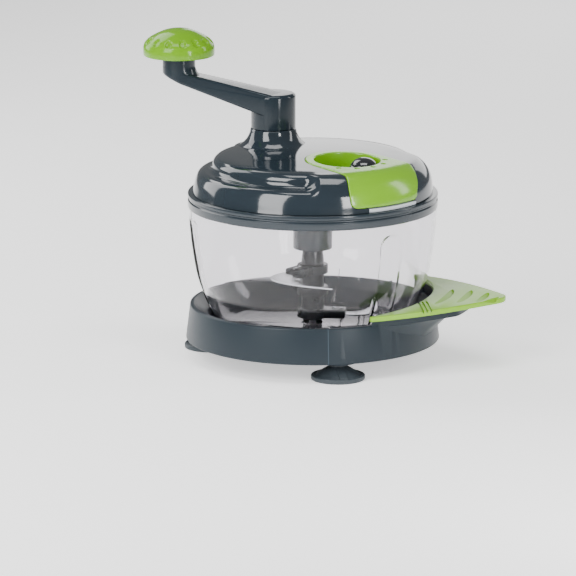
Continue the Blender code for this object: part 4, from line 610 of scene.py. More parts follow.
class Finish:
    """A material that is built one node at a time."""

    def __init__(self, name):
        self.material = bpy.data.materials.new(name)
        self.material.use_nodes = True
        self.tree = self.material.node_tree
        self.shader = self.tree.nodes["Principled BSDF"]

    def node(self, kind, settings=None, *values, output=0, **named):
        """Add a node, give it its settings and then its values or links."""
        made = self.tree.nodes.new(kind)
        for key, value in (settings or {}).items():
            if key == "stops":
                for stop, (place, shade) in zip(self.stops(made, len(value)), value):
                    stop.position = place
                    stop.color = shade
            else:
                setattr(made, key, value)
        for socket, value in list(enumerate(values)) + list(named.items()):
            key = socket if isinstance(socket, int) else socket.replace("_", " ")
            self.feed(made.inputs[key], value)
        return Wire(self, made.outputs[output])

    @staticmethod
    def stops(ramp, count):
        while len(ramp.color_ramp.elements) < count:
            ramp.color_ramp.elements.new(0.5)
        return ramp.color_ramp.elements

    def feed(self, socket, value):
        if isinstance(value, Wire):
            self.tree.links.new(value.socket, socket)
        else:
            socket.default_value = value

    def place(self, scale=(1.0, 1.0, 1.0), turn=(0.0, 0.0, 0.0), shift=(0.0, 0.0, 0.0)):
        where = self.node("ShaderNodeTexCoord", output="Object")
        return self.node("ShaderNodeMapping", {"vector_type": "POINT"}, Vector=where,
                         Scale=scale, Rotation=turn, Location=shift)

    def parts(self, vector):
        split = self.node("ShaderNodeSeparateXYZ", None, vector)
        others = split.socket.node.outputs
        return [Wire(self, others[axis]) for axis in range(3)]

    def noise(self, scale, detail=3.0, roughness=0.5, where=None):
        return self.node("ShaderNodeTexNoise", {"noise_dimensions": "3D"},
                         Vector=where or self.place(), Scale=scale, Detail=detail,
                         Roughness=roughness)

    def ramp(self, factor, *stops):
        return self.node("ShaderNodeValToRGB",
                         {"stops": [(place, (shade, shade, shade, 1.0)) for place, shade in stops]},
                         factor)

    def between(self, factor, first, second):
        """Mix two colours."""
        mixed = self.tree.nodes.new("ShaderNodeMix")
        mixed.data_type = "RGBA"
        self.feed(mixed.inputs[0], factor)
        self.feed(mixed.inputs[6], first)
        self.feed(mixed.inputs[7], second)
        return Wire(self, mixed.outputs[2])

    def bump(self, height, strength, distance):
        return self.node("ShaderNodeBump", None, Height=height, Strength=strength,
                         Distance=distance)

    def set(self, **sockets):
        for name, value in sockets.items():
            self.feed(self.shader.inputs[name.replace("_", " ")], value)
        return self

    def math_step(self, value, near, far):
        """1 below near, 0 above far."""
        return self.node("ShaderNodeMapRange", {"interpolation_type": "SMOOTHSTEP", "clamp": True},
                         Value=value, From_Min=near, From_Max=far, To_Min=1.0, To_Max=0.0)


def rgba(colour, lift=1.0):
    return tuple(min(value * lift, 1.0) for value in colour[:3]) + (1.0,)


def moulded(name, colour, roughness, grain, coat=0.0, spread=0.07, shine=0.5):
    """Moulded plastic: a faint drift of colour, a grained skin and worn patches."""
    finish = Finish(name)
    drift = finish.noise(22.0, 3.0)
    speck = finish.noise(900.0, 2.0)
    tone = drift * 0.75 + speck * 0.25
    finish.set(
        Base_Color=finish.between(tone, rgba(colour, 1.0 - spread), rgba(colour, 1.0 + spread)),
        Roughness=finish.noise(60.0, 4.0) * 0.08 + (roughness - 0.04),
        Normal=finish.bump(finish.noise(1600.0, 2.0), 0.35, grain),
        Coat_Weight=coat,
        Coat_Roughness=0.03,
        Specular_IOR_Level=shine,
        IOR=1.49,
    )
    return finish.material


def brushed(name, colour, roughness):
    """Brushed steel with fine lines along the piece and faint smears."""
    finish = Finish(name)
    lines = finish.noise(1.0, 4.0, 0.6, finish.place(scale=(60.0, 2200.0, 2200.0)))
    smear = finish.noise(45.0, 4.0)
    finish.set(
        Base_Color=finish.between(lines, rgba(colour, 0.86), rgba(colour, 1.08)),
        Metallic=1.0,
        Roughness=lines * 0.12 + smear * 0.10 + (roughness - 0.10),
        Normal=finish.bump(lines, 0.25, 0.00002),
    )
    return finish.material


def soft_rubber(name, colour):
    finish = Finish(name)
    dust = finish.noise(70.0, 5.0, 0.6)
    finish.set(
        Base_Color=finish.between(dust, rgba(colour, 0.82), rgba(colour, 1.35)),
        Roughness=dust * 0.15 + 0.42,
        Normal=finish.bump(finish.noise(700.0, 3.0), 0.3, 0.00004),
        IOR=1.5,
    )
    return finish.material


def clear_plastic(name, colour):
    finish = Finish(name)
    haze = finish.noise(35.0, 4.0)
    finish.set(
        Base_Color=rgba(colour),
        Roughness=haze * 0.05 + 0.02,
        Transmission_Weight=1.0,
        Coat_Weight=0.40,
        Coat_Roughness=0.02,
        IOR=1.19,
        Normal=finish.bump(finish.noise(30.0, 2.0), 0.06, 0.0003),
    )
    return finish.material


def base_plastic(name, colour):
    """The base's plastic with the fine parting line of its mould: a real raised seam, with a painted highlight
    along it.
    """
    finish = Finish(name)
    drift = finish.noise(22.0, 3.0)
    speck = finish.noise(900.0, 2.0)
    x, y, z = finish.parts(finish.place(shift=(-AXIS.x, -AXIS.y, 0.0)))
    side = math.radians(PARTING_DEG)
    across = (x * math.sin(side) - y * math.cos(side)).size()
    outward = x * math.cos(side) + y * math.sin(side)
    # Parting line: the bump gives the real seam, and the colour 2.6 times lighter is a painted highlight.
    line = finish.math_step(across, 0.00022, 0.00045) * finish.math_step(0.1015 - outward, 0.0, 0.0004)
    tone = drift * 0.75 + speck * 0.25
    plain = finish.between(tone, rgba(colour, 0.93), rgba(colour, 1.07))
    finish.set(
        Base_Color=finish.between(line, plain, rgba(colour, 2.6)),
        Roughness=finish.noise(60.0, 4.0) * 0.10 + 0.33,
        Normal=finish.bump(finish.noise(1300.0, 2.0) + line * 2.0, 0.4, 0.00004),
        IOR=1.49,
        Specular_IOR_Level=0.3,
    )
    return finish.material


def finishes(context):
    """Every finish of the chopper, made once."""
    look = context.scene.chopper_finish
    wanted = {
        "base_plastic": lambda: base_plastic("base_plastic", look.slate),
        "ring_plastic": lambda: moulded("ring_plastic", look.slate, 0.16, 0.00001, 0.15),
        "lid_gloss": lambda: moulded("lid_gloss", look.slate, 0.10, 0.000004, 0.35, 0.04),
        "crank_gloss": lambda: moulded("crank_gloss", look.slate, 0.14, 0.000004, 0.0, 0.04, 0.3),
        "lime_plastic": lambda: moulded("lime_plastic", look.lime, 0.20, 0.000008, 0.2, 0.05),
        "leaf_plastic": lambda: moulded("leaf_plastic", look.leaf, 0.30, 0.000012, 0.0, 0.05),
        "knob_plastic": lambda: moulded("knob_plastic", look.knob, 0.15, 0.000006, 0.0, 0.05, 0.3),
        "clear_bowl": lambda: clear_plastic("clear_bowl", look.clear),
        "blade_steel": lambda: brushed("blade_steel", look.steel, 0.24),
        "screw_steel": lambda: brushed("screw_steel", look.steel, 0.32),
        "cup_rubber": lambda: soft_rubber("cup_rubber", look.rubber),
        "seal_rubber": lambda: soft_rubber("seal_rubber", look.seal),
        "button_gloss": lambda: moulded("button_gloss", look.black, 0.10, 0.000003, 0.8, 0.05),
        "shaft_plastic": lambda: moulded("shaft_plastic", look.black, 0.28, 0.00001, 0.2),
        "tongue_plastic": lambda: moulded("tongue_plastic", look.pale, 0.22, 0.00001, 0.3),
        "gear_plastic": lambda: moulded("gear_plastic", look.white, 0.38, 0.00002),
    }
    return {name: bpy.data.materials.get(name) or make() for name, make in wanted.items()}


# Sizes and colours that someone would change

class ChopperStage(bpy.types.PropertyGroup):
    azimuth: FloatProperty(name="Azimuth", description="Where the camera stands round the chopper",
                           default=16.5)
    distance: FloatProperty(name="Distance", description="From the camera to the bowl's axis",
                            default=4.11, unit="LENGTH")
    height: FloatProperty(name="Height", description="Height of the camera",
                          default=0.987, unit="LENGTH")
    aim_z: FloatProperty(name="Aim height", description="Height of the middle of the picture",
                         default=0.0570, unit="LENGTH")
    aim_aside: FloatProperty(name="Aim aside", description="How far right of the axis it aims",
                             default=-0.0208, unit="LENGTH")
    lens: FloatProperty(name="Lens", description="Focal length", default=312.4)
    floor: FloatVectorProperty(name="Floor", description="Colour of the floor", subtype="COLOR",
                               default=(0.95, 0.95, 0.95))
    glow: FloatProperty(name="Floor glow", description="How far the floor lights itself",
                        default=0.75)
    light: FloatProperty(name="Light", description="Strength of all lamps", default=1.0)


class ChopperFinish(bpy.types.PropertyGroup):
    slate: FloatVectorProperty(name="Slate", description="Base, ring, lid and crank",
                               subtype="COLOR", default=(0.016, 0.025, 0.033))
    lime: FloatVectorProperty(name="Lime", description="Insert with its tab",
                              subtype="COLOR", default=(0.175, 0.420, 0.007))
    leaf: FloatVectorProperty(name="Leaf", description="Leaf handle",
                              subtype="COLOR", default=(0.230, 0.480, 0.014))
    knob: FloatVectorProperty(name="Knob", description="Knob on the crank",
                              subtype="COLOR", default=(0.140, 0.350, 0.003))
    clear: FloatVectorProperty(name="Clear", description="Bowl", subtype="COLOR",
                               default=(0.918, 0.906, 0.930))
    steel: FloatVectorProperty(name="Steel", description="Blades and screws", subtype="COLOR",
                               default=(0.62, 0.63, 0.65))
    rubber: FloatVectorProperty(name="Rubber", description="Suction cups", subtype="COLOR",
                                default=(0.030, 0.040, 0.048))
    seal: FloatVectorProperty(name="Seal", description="Lid's gasket", subtype="COLOR",
                              default=(0.50, 0.53, 0.56))
    black: FloatVectorProperty(name="Black", description="Button and blade holder",
                               subtype="COLOR", default=(0.012, 0.014, 0.017))
    # The latch tongue is a real part, but its pale colour is a painted highlight for the bright ledge under the
    # tab.
    pale: FloatVectorProperty(name="Pale", description="Latch tongue", subtype="COLOR",
                              default=(0.62, 0.66, 0.70))
    white: FloatVectorProperty(name="White", description="Gears and bush", subtype="COLOR",
                               default=(0.78, 0.78, 0.75))


class ChopperBase(bpy.types.PropertyGroup):
    rib_count: IntProperty(name="Ribs", description="Ribs under the base", default=6, min=2)
    rib_thick: FloatProperty(name="Rib thickness", description="Thickness of a rib",
                             default=0.0020, unit="LENGTH")
    groove_depth: FloatProperty(name="Groove depth", description="Depth of the leaf's grooves",
                                default=0.0029, unit="LENGTH")
    ridge_depth: FloatProperty(name="Ridge depth", description="Depth of the slots in the leaf",
                               default=0.0016, unit="LENGTH")
    steps: IntProperty(name="Facets", description="Facets round the base", default=180, min=24)


class ChopperBowl(bpy.types.PropertyGroup):
    wall: FloatProperty(name="Wall", description="Thickness of the bowl's wall",
                        default=0.0023, unit="LENGTH")
    flute_depth: FloatProperty(name="Flute depth", description="How deep the flutes are",
                               default=0.0032, unit="LENGTH")
    flute_half: FloatProperty(name="Flute half width", description="Half the width of a flute",
                              default=0.0105, unit="LENGTH")
    flute_edge: FloatProperty(name="Flute edge", description="Width of a flute's sloping edge",
                              default=0.0028, unit="LENGTH")
    blade_thick: FloatProperty(name="Blade thickness", description="Thickness of a blade",
                               default=0.0012, unit="LENGTH")
    steps: IntProperty(name="Facets", description="Facets round the bowl", default=288, min=48)


class ChopperLid(bpy.types.PropertyGroup):
    proud: FloatProperty(name="Insert proud", description="How far the insert stands out",
                         default=0.0007, unit="LENGTH")
    seam: FloatProperty(name="Seam", description="Gap round the insert",
                        default=0.0006, unit="LENGTH")
    edge: FloatProperty(name="Insert edge", description="Rounding of the insert's edge",
                        default=0.0008, unit="LENGTH")
    lip: FloatProperty(name="Well lip", description="Rounding of the well's lip",
                       default=0.0012, unit="LENGTH")
    dimple_depth: FloatProperty(name="Dimple depth", description="Depth of the insert's dimples",
                                default=0.0008, unit="LENGTH")
    steps: IntProperty(name="Facets", description="Facets round the lid", default=300, min=48)


class ChopperCrank(bpy.types.PropertyGroup):
    edge: FloatProperty(name="Arm edge", description="Rounding of the arm's edges",
                        default=0.0019, unit="LENGTH")
    fillet: FloatProperty(name="Post fillet", description="Fillet where the post meets the arm",
                          default=0.0045, unit="LENGTH")
    dimples: IntProperty(name="Dimples", description="Dimples round the knob", default=14, min=0)
    dimple_depth: FloatProperty(name="Dimple depth", description="Depth of the knob's dimples",
                                default=0.0014, unit="LENGTH")
    steps: IntProperty(name="Facets", description="Facets round the knob", default=240, min=24)


# Shapes of the base

def leaf_edge(steps=40):
    """The leaf's edge at the back, from the start of its arm to the tip's rounding."""
    start = polar(LEAF_START_R, LEAF_HALF_DEG).xy
    nose = Vector((LEAF_TIP_X - LEAF_TIP_R, 0.0)) + polar(LEAF_TIP_R, LEAF_NOSE_DEG).xy
    first = start + polar(LEAF_EDGE_PULLS[0], LEAF_EDGE_DEG).xy
    second = nose - polar(LEAF_EDGE_PULLS[1], LEAF_NOSE_DEG - 90.0).xy
    points = []
    for step in range(steps + 1):
        share = step / steps
        rest = 1.0 - share
        points.append(start * rest ** 3 + first * (3.0 * rest * rest * share)
                      + second * (3.0 * rest * share * share) + nose * share ** 3)
    return points


def leaf_edge_r(degrees):
    """How far the leaf's curved edge lies from the axis in one direction."""
    ray = polar(1.0, abs(degrees)).xy
    edge = leaf_edge()
    for near, far in zip(edge, edge[1:]):
        run = far - near
        reach = (near.x * run.y - near.y * run.x) / (ray.x * run.y - ray.y * run.x)
        if far.y <= ray.y * reach <= near.y:
            return reach
    return LEAF_TIP_X - LEAF_TIP_R


def leaf_top_z(point):
    return (LEAF_ROOT_Z + (point[0] - AXIS.x - LEAF_ROOT_X) * LEAF_SLOPE
            + (point[1] - AXIS.y) * LEAF_BANK)


def leaf_outline():
    steps = 48
    inner = [polar(LEAF_INNER_R, LEAF_HALF_DEG * (1.0 - 2.0 * step / steps)).xy
             for step in range(steps + 1)]
    tip = Vector((LEAF_TIP_X - LEAF_TIP_R, 0.0))
    nose = [tip + polar(LEAF_TIP_R, LEAF_NOSE_DEG * (step / 10.0 - 1.0)).xy
            for step in range(1, 20)]
    edge = leaf_edge()
    around = inner + [Vector((point.x, -point.y)) for point in edge] + nose + edge[::-1]
    return [(point.x + AXIS.x, point.y + AXIS.y) for point in around]


def scoop(depth, low_deg, low_r, high_deg, high_r):
    """A cutter for a crescent groove that is shallow inside and deep outside."""
    steps = 36
    rows = []
    for step in range(steps + 1):
        share = step / steps
        middle = 2.0 * share - 1.0
        swell = math.sqrt(max(1.0 - middle * middle, GROOVE_END_SHARE ** 2))
        half = GROOVE_WIDTH * swell / 2.0
        degrees = low_deg + (high_deg - low_deg) * share
        radius = low_r + (high_r - low_r) * share
        row = []
        for out, fall in ((-1.0, GROOVE_SHALLOW), (-1.0, -0.004), (1.0, -0.004),
                          (1.0, depth * swell * 0.8), (0.75, depth * swell),
                          (0.2, depth * swell * 0.75)):
            place = at_axis(polar(radius + out * half, degrees))
            row.append((place.x, place.y, leaf_top_z(place) - fall))
        rows.append(row)
    return capped("groove", rows)


def bracket_rows():
    """Sections of the bracket that runs out of the base's wall under the leaf."""
    rows = []
    steps = 60
    inner = BASE_RIM_R - 0.0012
    for step in range(steps + 1):
        degrees = BRACKET_HALF_DEG * (2.0 * step / steps - 1.0)
        reach = min(leaf_edge_r(degrees) - BRACKET_INSET, BRACKET_REACH_R)
        reach = max(reach, BASE_RIM_R)
        under = -LEAF_THICK - 0.0003
        top_in = leaf_top_z(at_axis(polar(inner, degrees))) + under
        top_out = leaf_top_z(at_axis(polar(reach, degrees))) + under
        swell = (reach - BASE_RIM_R) / (BRACKET_REACH_R - BASE_RIM_R)
        foot = BASE_TOP_Z - 0.0012 - (BASE_TOP_Z - BRACKET_FOOT_Z) * math.sqrt(swell)
        lip = max(top_out - BRACKET_DEPTH, foot)
        section = [(inner, foot), (BASE_RIM_R, foot)]
        for part in range(1, 8):
            share = part / 8.0
            section.append((BASE_RIM_R + (reach - BASE_RIM_R) * share,
                            foot + (lip - foot) * math.sin(share * math.pi / 2.0) ** 0.9))
        section += [(reach, lip), (reach, top_out), (inner, top_in)]
        rows.append([at_axis(polar(radius, degrees, height)) for radius, height in section])
    return rows


def capped(name, rows, sharp_deg=32.0):
    """A solid through rows of closed sections, with flat ends."""
    points, faces = woven(rows)
    wide = len(rows[0])
    last = len(points) - wide
    faces += [tuple(range(wide)), tuple(range(last, last + wide))]
    return solid(name, points, faces, sharp_deg)


# Geometry node trees for what repeats

class Growth:
    """A tree of geometry nodes with named inputs."""

    def __init__(self, name, **inputs):
        self.tree = bpy.data.node_groups.new(name, "GeometryNodeTree")
        self.tree.interface.new_socket("Geometry", in_out="OUTPUT", socket_type="NodeSocketGeometry")
        self.tree.interface.new_socket("Geometry", in_out="INPUT", socket_type="NodeSocketGeometry")
        self.kinds = {}
        for label, kind in inputs.items():
            item = self.tree.interface.new_socket(label.replace("_", " "), in_out="INPUT",
                                                  socket_type="NodeSocket" + kind)
            self.kinds[label] = item.identifier
        self.start = self.tree.nodes.new("NodeGroupInput")
        self.end = self.tree.nodes.new("NodeGroupOutput")

    def given(self, label):
        return self.start.outputs[label.replace("_", " ")]

    def node(self, kind, settings=None, **values):
        made = self.tree.nodes.new(kind)
        for key, value in (settings or {}).items():
            setattr(made, key, value)
        for label, value in values.items():
            socket = made.inputs[label.replace("_", " ")]
            if isinstance(value, bpy.types.NodeSocket):
                self.tree.links.new(value, socket)
            else:
                socket.default_value = value
        return made

    def close(self, geometry):
        realized = self.node("GeometryNodeRealizeInstances", Geometry=geometry)
        coated = self.node("GeometryNodeSetMaterial", Geometry=realized.outputs[0],
                           Material=self.given("Material"))
        self.tree.links.new(coated.outputs[0], self.end.inputs[0])
        return self

    def grow(self, piece, sharp_deg=32.0, **values):
        """Run the tree on a piece and keep what it makes as a plain mesh."""
        modifier = piece.modifiers.new(self.tree.name, "NODES")
        modifier.node_group = self.tree
        for label, value in values.items():
            modifier[self.kinds[label]] = value
        return settle(piece, sharp_deg)


def ring_of_copies(material, tool, name, count, radius):
    """Copies of a tool, made at the origin, stood in a ring round the bowl's axis."""
    growth = Growth("ring_of_" + name, Tool="Object", Count="Int", Radius="Float",
                    Material="Material")
    circle = growth.node("GeometryNodeMeshCircle", Vertices=growth.given("Count"),
                         Radius=growth.given("Radius"))
    shape = growth.node("GeometryNodeObjectInfo", Object=growth.given("Tool"))
    place = growth.node("GeometryNodeInputPosition")
    facing = growth.node("FunctionNodeAlignEulerToVector", {"axis": "X"},
                         Vector=place.outputs[0])
    copies = growth.node("GeometryNodeInstanceOnPoints", Points=circle.outputs[0],
                         Instance=shape.outputs["Geometry"], Rotation=facing.outputs[0])
    growth.close(copies.outputs[0])
    holder = placed(name, bpy.data.meshes.new(name))
    growth.grow(holder, Tool=tool, Count=count, Radius=radius, Material=material)
    bpy.data.objects.remove(tool, do_unlink=True)
    holder.data.transform(Matrix.Translation((AXIS.x, AXIS.y, 0.0)))
    return holder


def copies_at(material, tool, name, places):
    """Copies of a tool, made at the origin, at a few places."""
    growth = Growth("copies_of_" + name, Tool="Object", Material="Material")
    shape = growth.node("GeometryNodeObjectInfo", Object=growth.given("Tool"))
    copies = growth.node("GeometryNodeInstanceOnPoints", Points=growth.given("Geometry"),
                         Instance=shape.outputs["Geometry"])
    growth.close(copies.outputs[0])
    mesh = bpy.data.meshes.new(name)
    mesh.from_pydata([tuple(place) for place in places], [], [])
    holder = placed(name, mesh)
    growth.grow(holder, Tool=tool, Material=material)
    bpy.data.objects.remove(tool, do_unlink=True)
    return holder


# Shapes of the bowl and the lid

def flute_press(sizes, degrees, height, radius):
    deepest = 0.0
    for flute in FLUTE_DEGS:
        away = (degrees - flute + 180.0) % 360.0 - 180.0
        aside = abs(math.radians(away)) * radius
        half = sizes.flute_half
        bend = FLUTE_TOP_Z - half
        if height > bend:
            aside = math.hypot(aside, height - bend)
        deepest = max(deepest, sizes.flute_depth * smooth_step((half - aside) / sizes.flute_edge))
    return deepest


def bowl_rows(sizes):
    """Rows of points up the outside, over the lip and down the inside."""
    side = flowing_open(BOWL_SIDE, 9)
    inner = set_in(side[::-1], sizes.wall)
    floor_z = BOWL_FLOOR_Z + 0.0024
    rim = eased([(x, y, 0.0005) for x, y in BOWL_RIM], 3, ring=False)
    foot = eased([(x, y, 0.0007) for x, y in BOWL_FOOT], 3, ring=False)
    pin_r = PIN_R + 0.0003
    middle = eased([
        (FLOOR_BOSS_R + 0.002, floor_z, 0.0),
        (FLOOR_BOSS_R, floor_z, 0.0008),
        (FLOOR_BOSS_R, floor_z + FLOOR_BOSS_RISE, 0.0006),
        (pin_r, floor_z + FLOOR_BOSS_RISE, 0.0003),
        (pin_r, BOWL_FLOOR_Z + 0.0012, 0.0),
        (0.0, BOWL_FLOOR_Z + 0.0012, 0.0),
    ], 3, ring=False)
    rows = []
    for radius, height in foot:
        rows.append((radius, height, False))
    rows += [(radius, height, True) for radius, height in side]
    rows += [(radius, height, False) for radius, height in rim]
    rows += [(radius, max(height, floor_z), True) for radius, height in inner]
    rows += [(radius, height, False) for radius, height in middle]
    made = []
    for radius, height, fluted in rows:
        fade = smooth_step((height - BOWL_SIDE[0][1]) / FLUTE_FADE)
        row = []
        for step in range(sizes.steps):
            degrees = 360.0 * step / sizes.steps
            press = flute_press(sizes, degrees, height, radius) * fade if fluted else 0.0
            row.append(at_axis(polar(radius - press, degrees, height)))
        made.append(row)
    return made


def flowing_open(points, per_span):
    """A smooth curve through points that keeps its own direction at both ends."""
    known = [np.array(point, float) for point in points]
    padded = [2.0 * known[0] - known[1]] + known + [2.0 * known[-1] - known[-2]]
    curve = []
    for at in range(1, len(padded) - 2):
        p0, p1, p2, p3 = padded[at - 1:at + 3]
        for step in range(per_span):
            t = step / per_span
            curve.append(0.5 * (2.0 * p1 + (p2 - p0) * t + (2.0 * p0 - 5.0 * p1 + 4.0 * p2 - p3)
                                * t * t + (3.0 * p1 - p0 - 3.0 * p2 + p3) * t ** 3))
    curve.append(known[-1])
    return np.array(curve)


SIDE_STEPS = 7
FULL_LINE = flowing(CROWN + FULL_SIDE, SIDE_STEPS)
STEPPED_LINE = flowing(CROWN + STEPPED_SIDE, SIDE_STEPS)


def lid_line(degrees):
    """The cover's outside as rows of (radius, height) in one direction."""
    away = (degrees - INSERT_DEG + 180.0) % 360.0 - 180.0
    edge, sweep = FULL_SECTOR[away > 0.0]
    share = smooth_step((abs(away) - abs(edge)) / sweep)
    return FULL_LINE + (STEPPED_LINE - FULL_LINE) * share


def cover_shell(sizes):
    columns = []
    for step in range(sizes.steps):
        degrees = 360.0 * step / sizes.steps
        line = lid_line(degrees)
        inner = set_in(line, COVER_WALL)[::-3]
        inner[-1] = (0.0, line[0][1] - COVER_WALL)
        inner[:, 0] = np.maximum(inner[:, 0], 0.0)
        inner = inner[inner[:, 1] > COVER_FOOT_Z + 0.001]
        columns.append((degrees, line, inner))
    fewest = min(len(inner) for _, _, inner in columns)
    rows_of = []
    for degrees, line, inner in columns:
        inner = inner[len(inner) - fewest:]
        foot = (inner[0][0] + 0.0, COVER_FOOT_Z)
        profile = [tuple(point) for point in line] + [foot] + [tuple(point) for point in inner]
        rows_of.append([at_axis(polar(radius, degrees, height)) for radius, height in profile])
    rows = [[column[row] for column in rows_of] for row in range(len(rows_of[0]))]
    return solid("lid_cover_gloss", *woven(rows))


class Skin:
    """The lid's full side rolled out flat, so that outlines can be laid on it."""

    def __init__(self):
        self.line = FULL_LINE
        steps = np.linalg.norm(np.diff(self.line, axis=0), axis=1)
        self.way = np.concatenate([[0.0], np.cumsum(steps)])
        along = np.gradient(self.line, axis=0)
        along /= np.linalg.norm(along, axis=1)[:, None]
        self.normal = np.stack([-along[:, 1], along[:, 0]], axis=1)

    def way_at_radius(self, radius):
        return float(np.interp(radius, self.line[:, 0], self.way))

    def at_height(self, height):
        """The radius and the way at one height on the steep side."""
        heights = self.line[::-1, 1]
        return (float(np.interp(height, heights, self.line[::-1, 0])),
                float(np.interp(height, heights, self.way[::-1])))

    def flat(self, x, y):
        """Lay a point of the plan on the rolled out skin."""
        radius = math.hypot(x, y)
        way = self.way_at_radius(radius)
        return (x * way / radius, y * way / radius) if radius > 0.0 else (0.0, 0.0)

    def flat_front(self, aside, height):
        radius, way = self.at_height(height)
        angle = math.asin(aside / radius)
        return (way * math.cos(angle), way * math.sin(angle))

    def point(self, u, v, lift):
        """The place on the lid of a point of the rolled out skin, lifted off it."""
        way = math.hypot(u, v)
        radius = np.interp(way, self.way, self.line[:, 0])
        height = np.interp(way, self.way, self.line[:, 1])
        out = np.interp(way, self.way, self.normal[:, 0])
        up = np.interp(way, self.way, self.normal[:, 1])
        radius += out * lift
        height += up * lift
        angle = math.atan2(v, u) + math.radians(INSERT_DEG)
        return Vector((AXIS.x + radius * math.cos(angle), AXIS.y + radius * math.sin(angle), height))


SKIN = Skin()


def insert_half(edge):
    """One half of the insert's outline: round end, flank, fold, tab and foot."""
    fold_half, fold_z = edge[0]
    fold_x = math.sqrt(SKIN.at_height(fold_z)[0] ** 2 - fold_half ** 2)
    lean = math.degrees(math.asin((fold_half - INSERT_END_R) / (fold_x - WELL_AT)))
    half = []
    for step in range(25):
        place = polar(INSERT_END_R, 180.0 - (90.0 - lean) * step / 24.0)
        half.append(SKIN.flat(place.x + WELL_AT, place.y))
    last = Vector((place.x + WELL_AT, place.y))
    for step in range(1, 25):
        half.append(SKIN.flat(*last.lerp(Vector((fold_x, fold_half)), step / 24.0)))
    bow = np.polyfit([height for _, height in edge], [aside for aside, _ in edge], 2)
    knee = TAB_FOOT_Z + TAB_CORNER
    for step in range(1, 19):
        height = fold_z + (knee - fold_z) * step / 18.0
        half.append(SKIN.flat_front(float(np.polyval(bow, height)), height))
    inner = float(np.polyval(bow, knee)) - TAB_CORNER
    for step in range(1, 9):
        turn = polar(TAB_CORNER, -90.0 * step / 8.0)
        half.append(SKIN.flat_front(inner + turn.x, knee + turn.y))
    for step in range(1, 9):
        half.append(SKIN.flat_front(inner * (1.0 - step / 8.0), TAB_FOOT_Z))
    return half


def insert_outline():
    """The insert's outline on the rolled out skin, evenly spaced."""
    left = [(u, -v) for u, v in insert_half(TAB_LEFT)]
    around = insert_half(TAB_RIGHT) + left[-2:0:-1]
    around = np.array(around + [around[0]])
    way = np.concatenate([[0.0], np.cumsum(np.linalg.norm(np.diff(around, axis=0), axis=1))])
    even = np.linspace(0.0, way[-1], 321)[:-1]
    return np.stack([np.interp(even, way, around[:, 0]), np.interp(even, way, around[:, 1])], axis=1)


def grown(outline, amount):
    """The outline moved out by an amount, square to itself."""
    ahead = np.roll(outline, -1, axis=0) - np.roll(outline, 1, axis=0)
    ahead /= np.linalg.norm(ahead, axis=1)[:, None]
    out = np.stack([ahead[:, 1], -ahead[:, 0]], axis=1)
    centre = np.array((WELL_AT, 0.0))
    if np.mean(np.sum(out * (outline - centre), axis=1)) < 0.0:
        out = -out
    return outline + out * amount


def insert_piece(sizes):
    """The insert: well, lip, top, fold and tab in one skin of even thickness."""
    outline = insert_outline()
    centre = np.array((WELL_AT, 0.0))
    rays = outline - centre
    reach = np.linalg.norm(rays, axis=1)
    rays = rays / reach[:, None]
    rows = []

    def level(radius, height):
        rows.append([at_axis(turned_in((centre[0] + ray[0] * radius,
                                        centre[1] + ray[1] * radius, height))) for ray in rays])

    def on_skin(ring, lift):
        rows.append([SKIN.point(u, v, lift) for u, v in ring])

    level(0.0, WELL_FLOOR_Z)
    level(WELL_R * 0.5, WELL_FLOOR_Z)
    for step in range(6):
        angle = math.radians(90.0 * step / 5.0)
        level(WELL_R - WELL_ROUND * (1.0 - math.sin(angle)),
              WELL_FLOOR_Z + WELL_ROUND * (1.0 - math.cos(angle)))
    lip = sizes.lip
    for share in (0.3, 0.6, 0.9):
        level(WELL_R, WELL_FLOOR_Z + WELL_ROUND + (0.1705 - WELL_FLOOR_Z - WELL_ROUND) * share)
    for step in range(7):
        angle = math.radians(90.0 * step / 6.0)
        ring = centre + rays * (WELL_R + lip * (1.0 - math.cos(angle)))
        on_skin(ring, sizes.proud - lip * (1.0 - math.sin(angle)))
    edge = sizes.edge
    start = WELL_R + lip
    inner_edge = grown(outline, -edge)
    for step in range(1, 13):
        share = step / 12.0
        ring = (centre + rays * start) * (1.0 - share) + inner_edge * share
        on_skin(ring, sizes.proud)
    for step in range(1, 6):
        angle = math.radians(90.0 * step / 5.0)
        on_skin(grown(outline, -edge * (1.0 - math.sin(angle))),
                sizes.proud - edge * (1.0 - math.cos(angle)))
    on_skin(outline, -INSERT_UNDER)
    outer = centre + rays * (WELL_R + WELL_WALL)
    for step in range(1, 5):
        share = step / 4.0
        on_skin(outline * (1.0 - share) + outer * share, -INSERT_UNDER)
    level(WELL_R + WELL_WALL, WELL_FLOOR_Z)
    level(WELL_R + WELL_WALL - 0.001, WELL_FLOOR_Z - WELL_WALL)
    level(0.0, WELL_FLOOR_Z - WELL_WALL)
    return solid("well_insert_lime", *woven(rows))


def turned_in(point):
    """Turn a point of the insert's own frame to where the insert is."""
    turn = Matrix.Rotation(math.radians(INSERT_DEG), 3, "Z")
    return turn @ Vector(point)


def recess_tool(sizes):
    """A solid that clears room for the insert in the cover."""
    outline = grown(insert_outline(), sizes.seam)
    centre = np.array((WELL_AT, 0.0))
    rows = []
    for share in (0.0, 0.25, 0.5, 0.75, 1.0):
        rows.append([SKIN.point(u, v, -RECESS_DEPTH)
                     for u, v in centre * (1.0 - share) + outline * share])
    for share in (1.0, 0.75, 0.5, 0.25, 0.0):
        rows.append([SKIN.point(u, v, 0.004)
                     for u, v in centre * (1.0 - share) + outline * share])
    return solid("recess_tool", *woven(rows))


# Operators, one for each piece or group of like pieces

class PieceOperator:
    bl_options = {"REGISTER", "UNDO"}


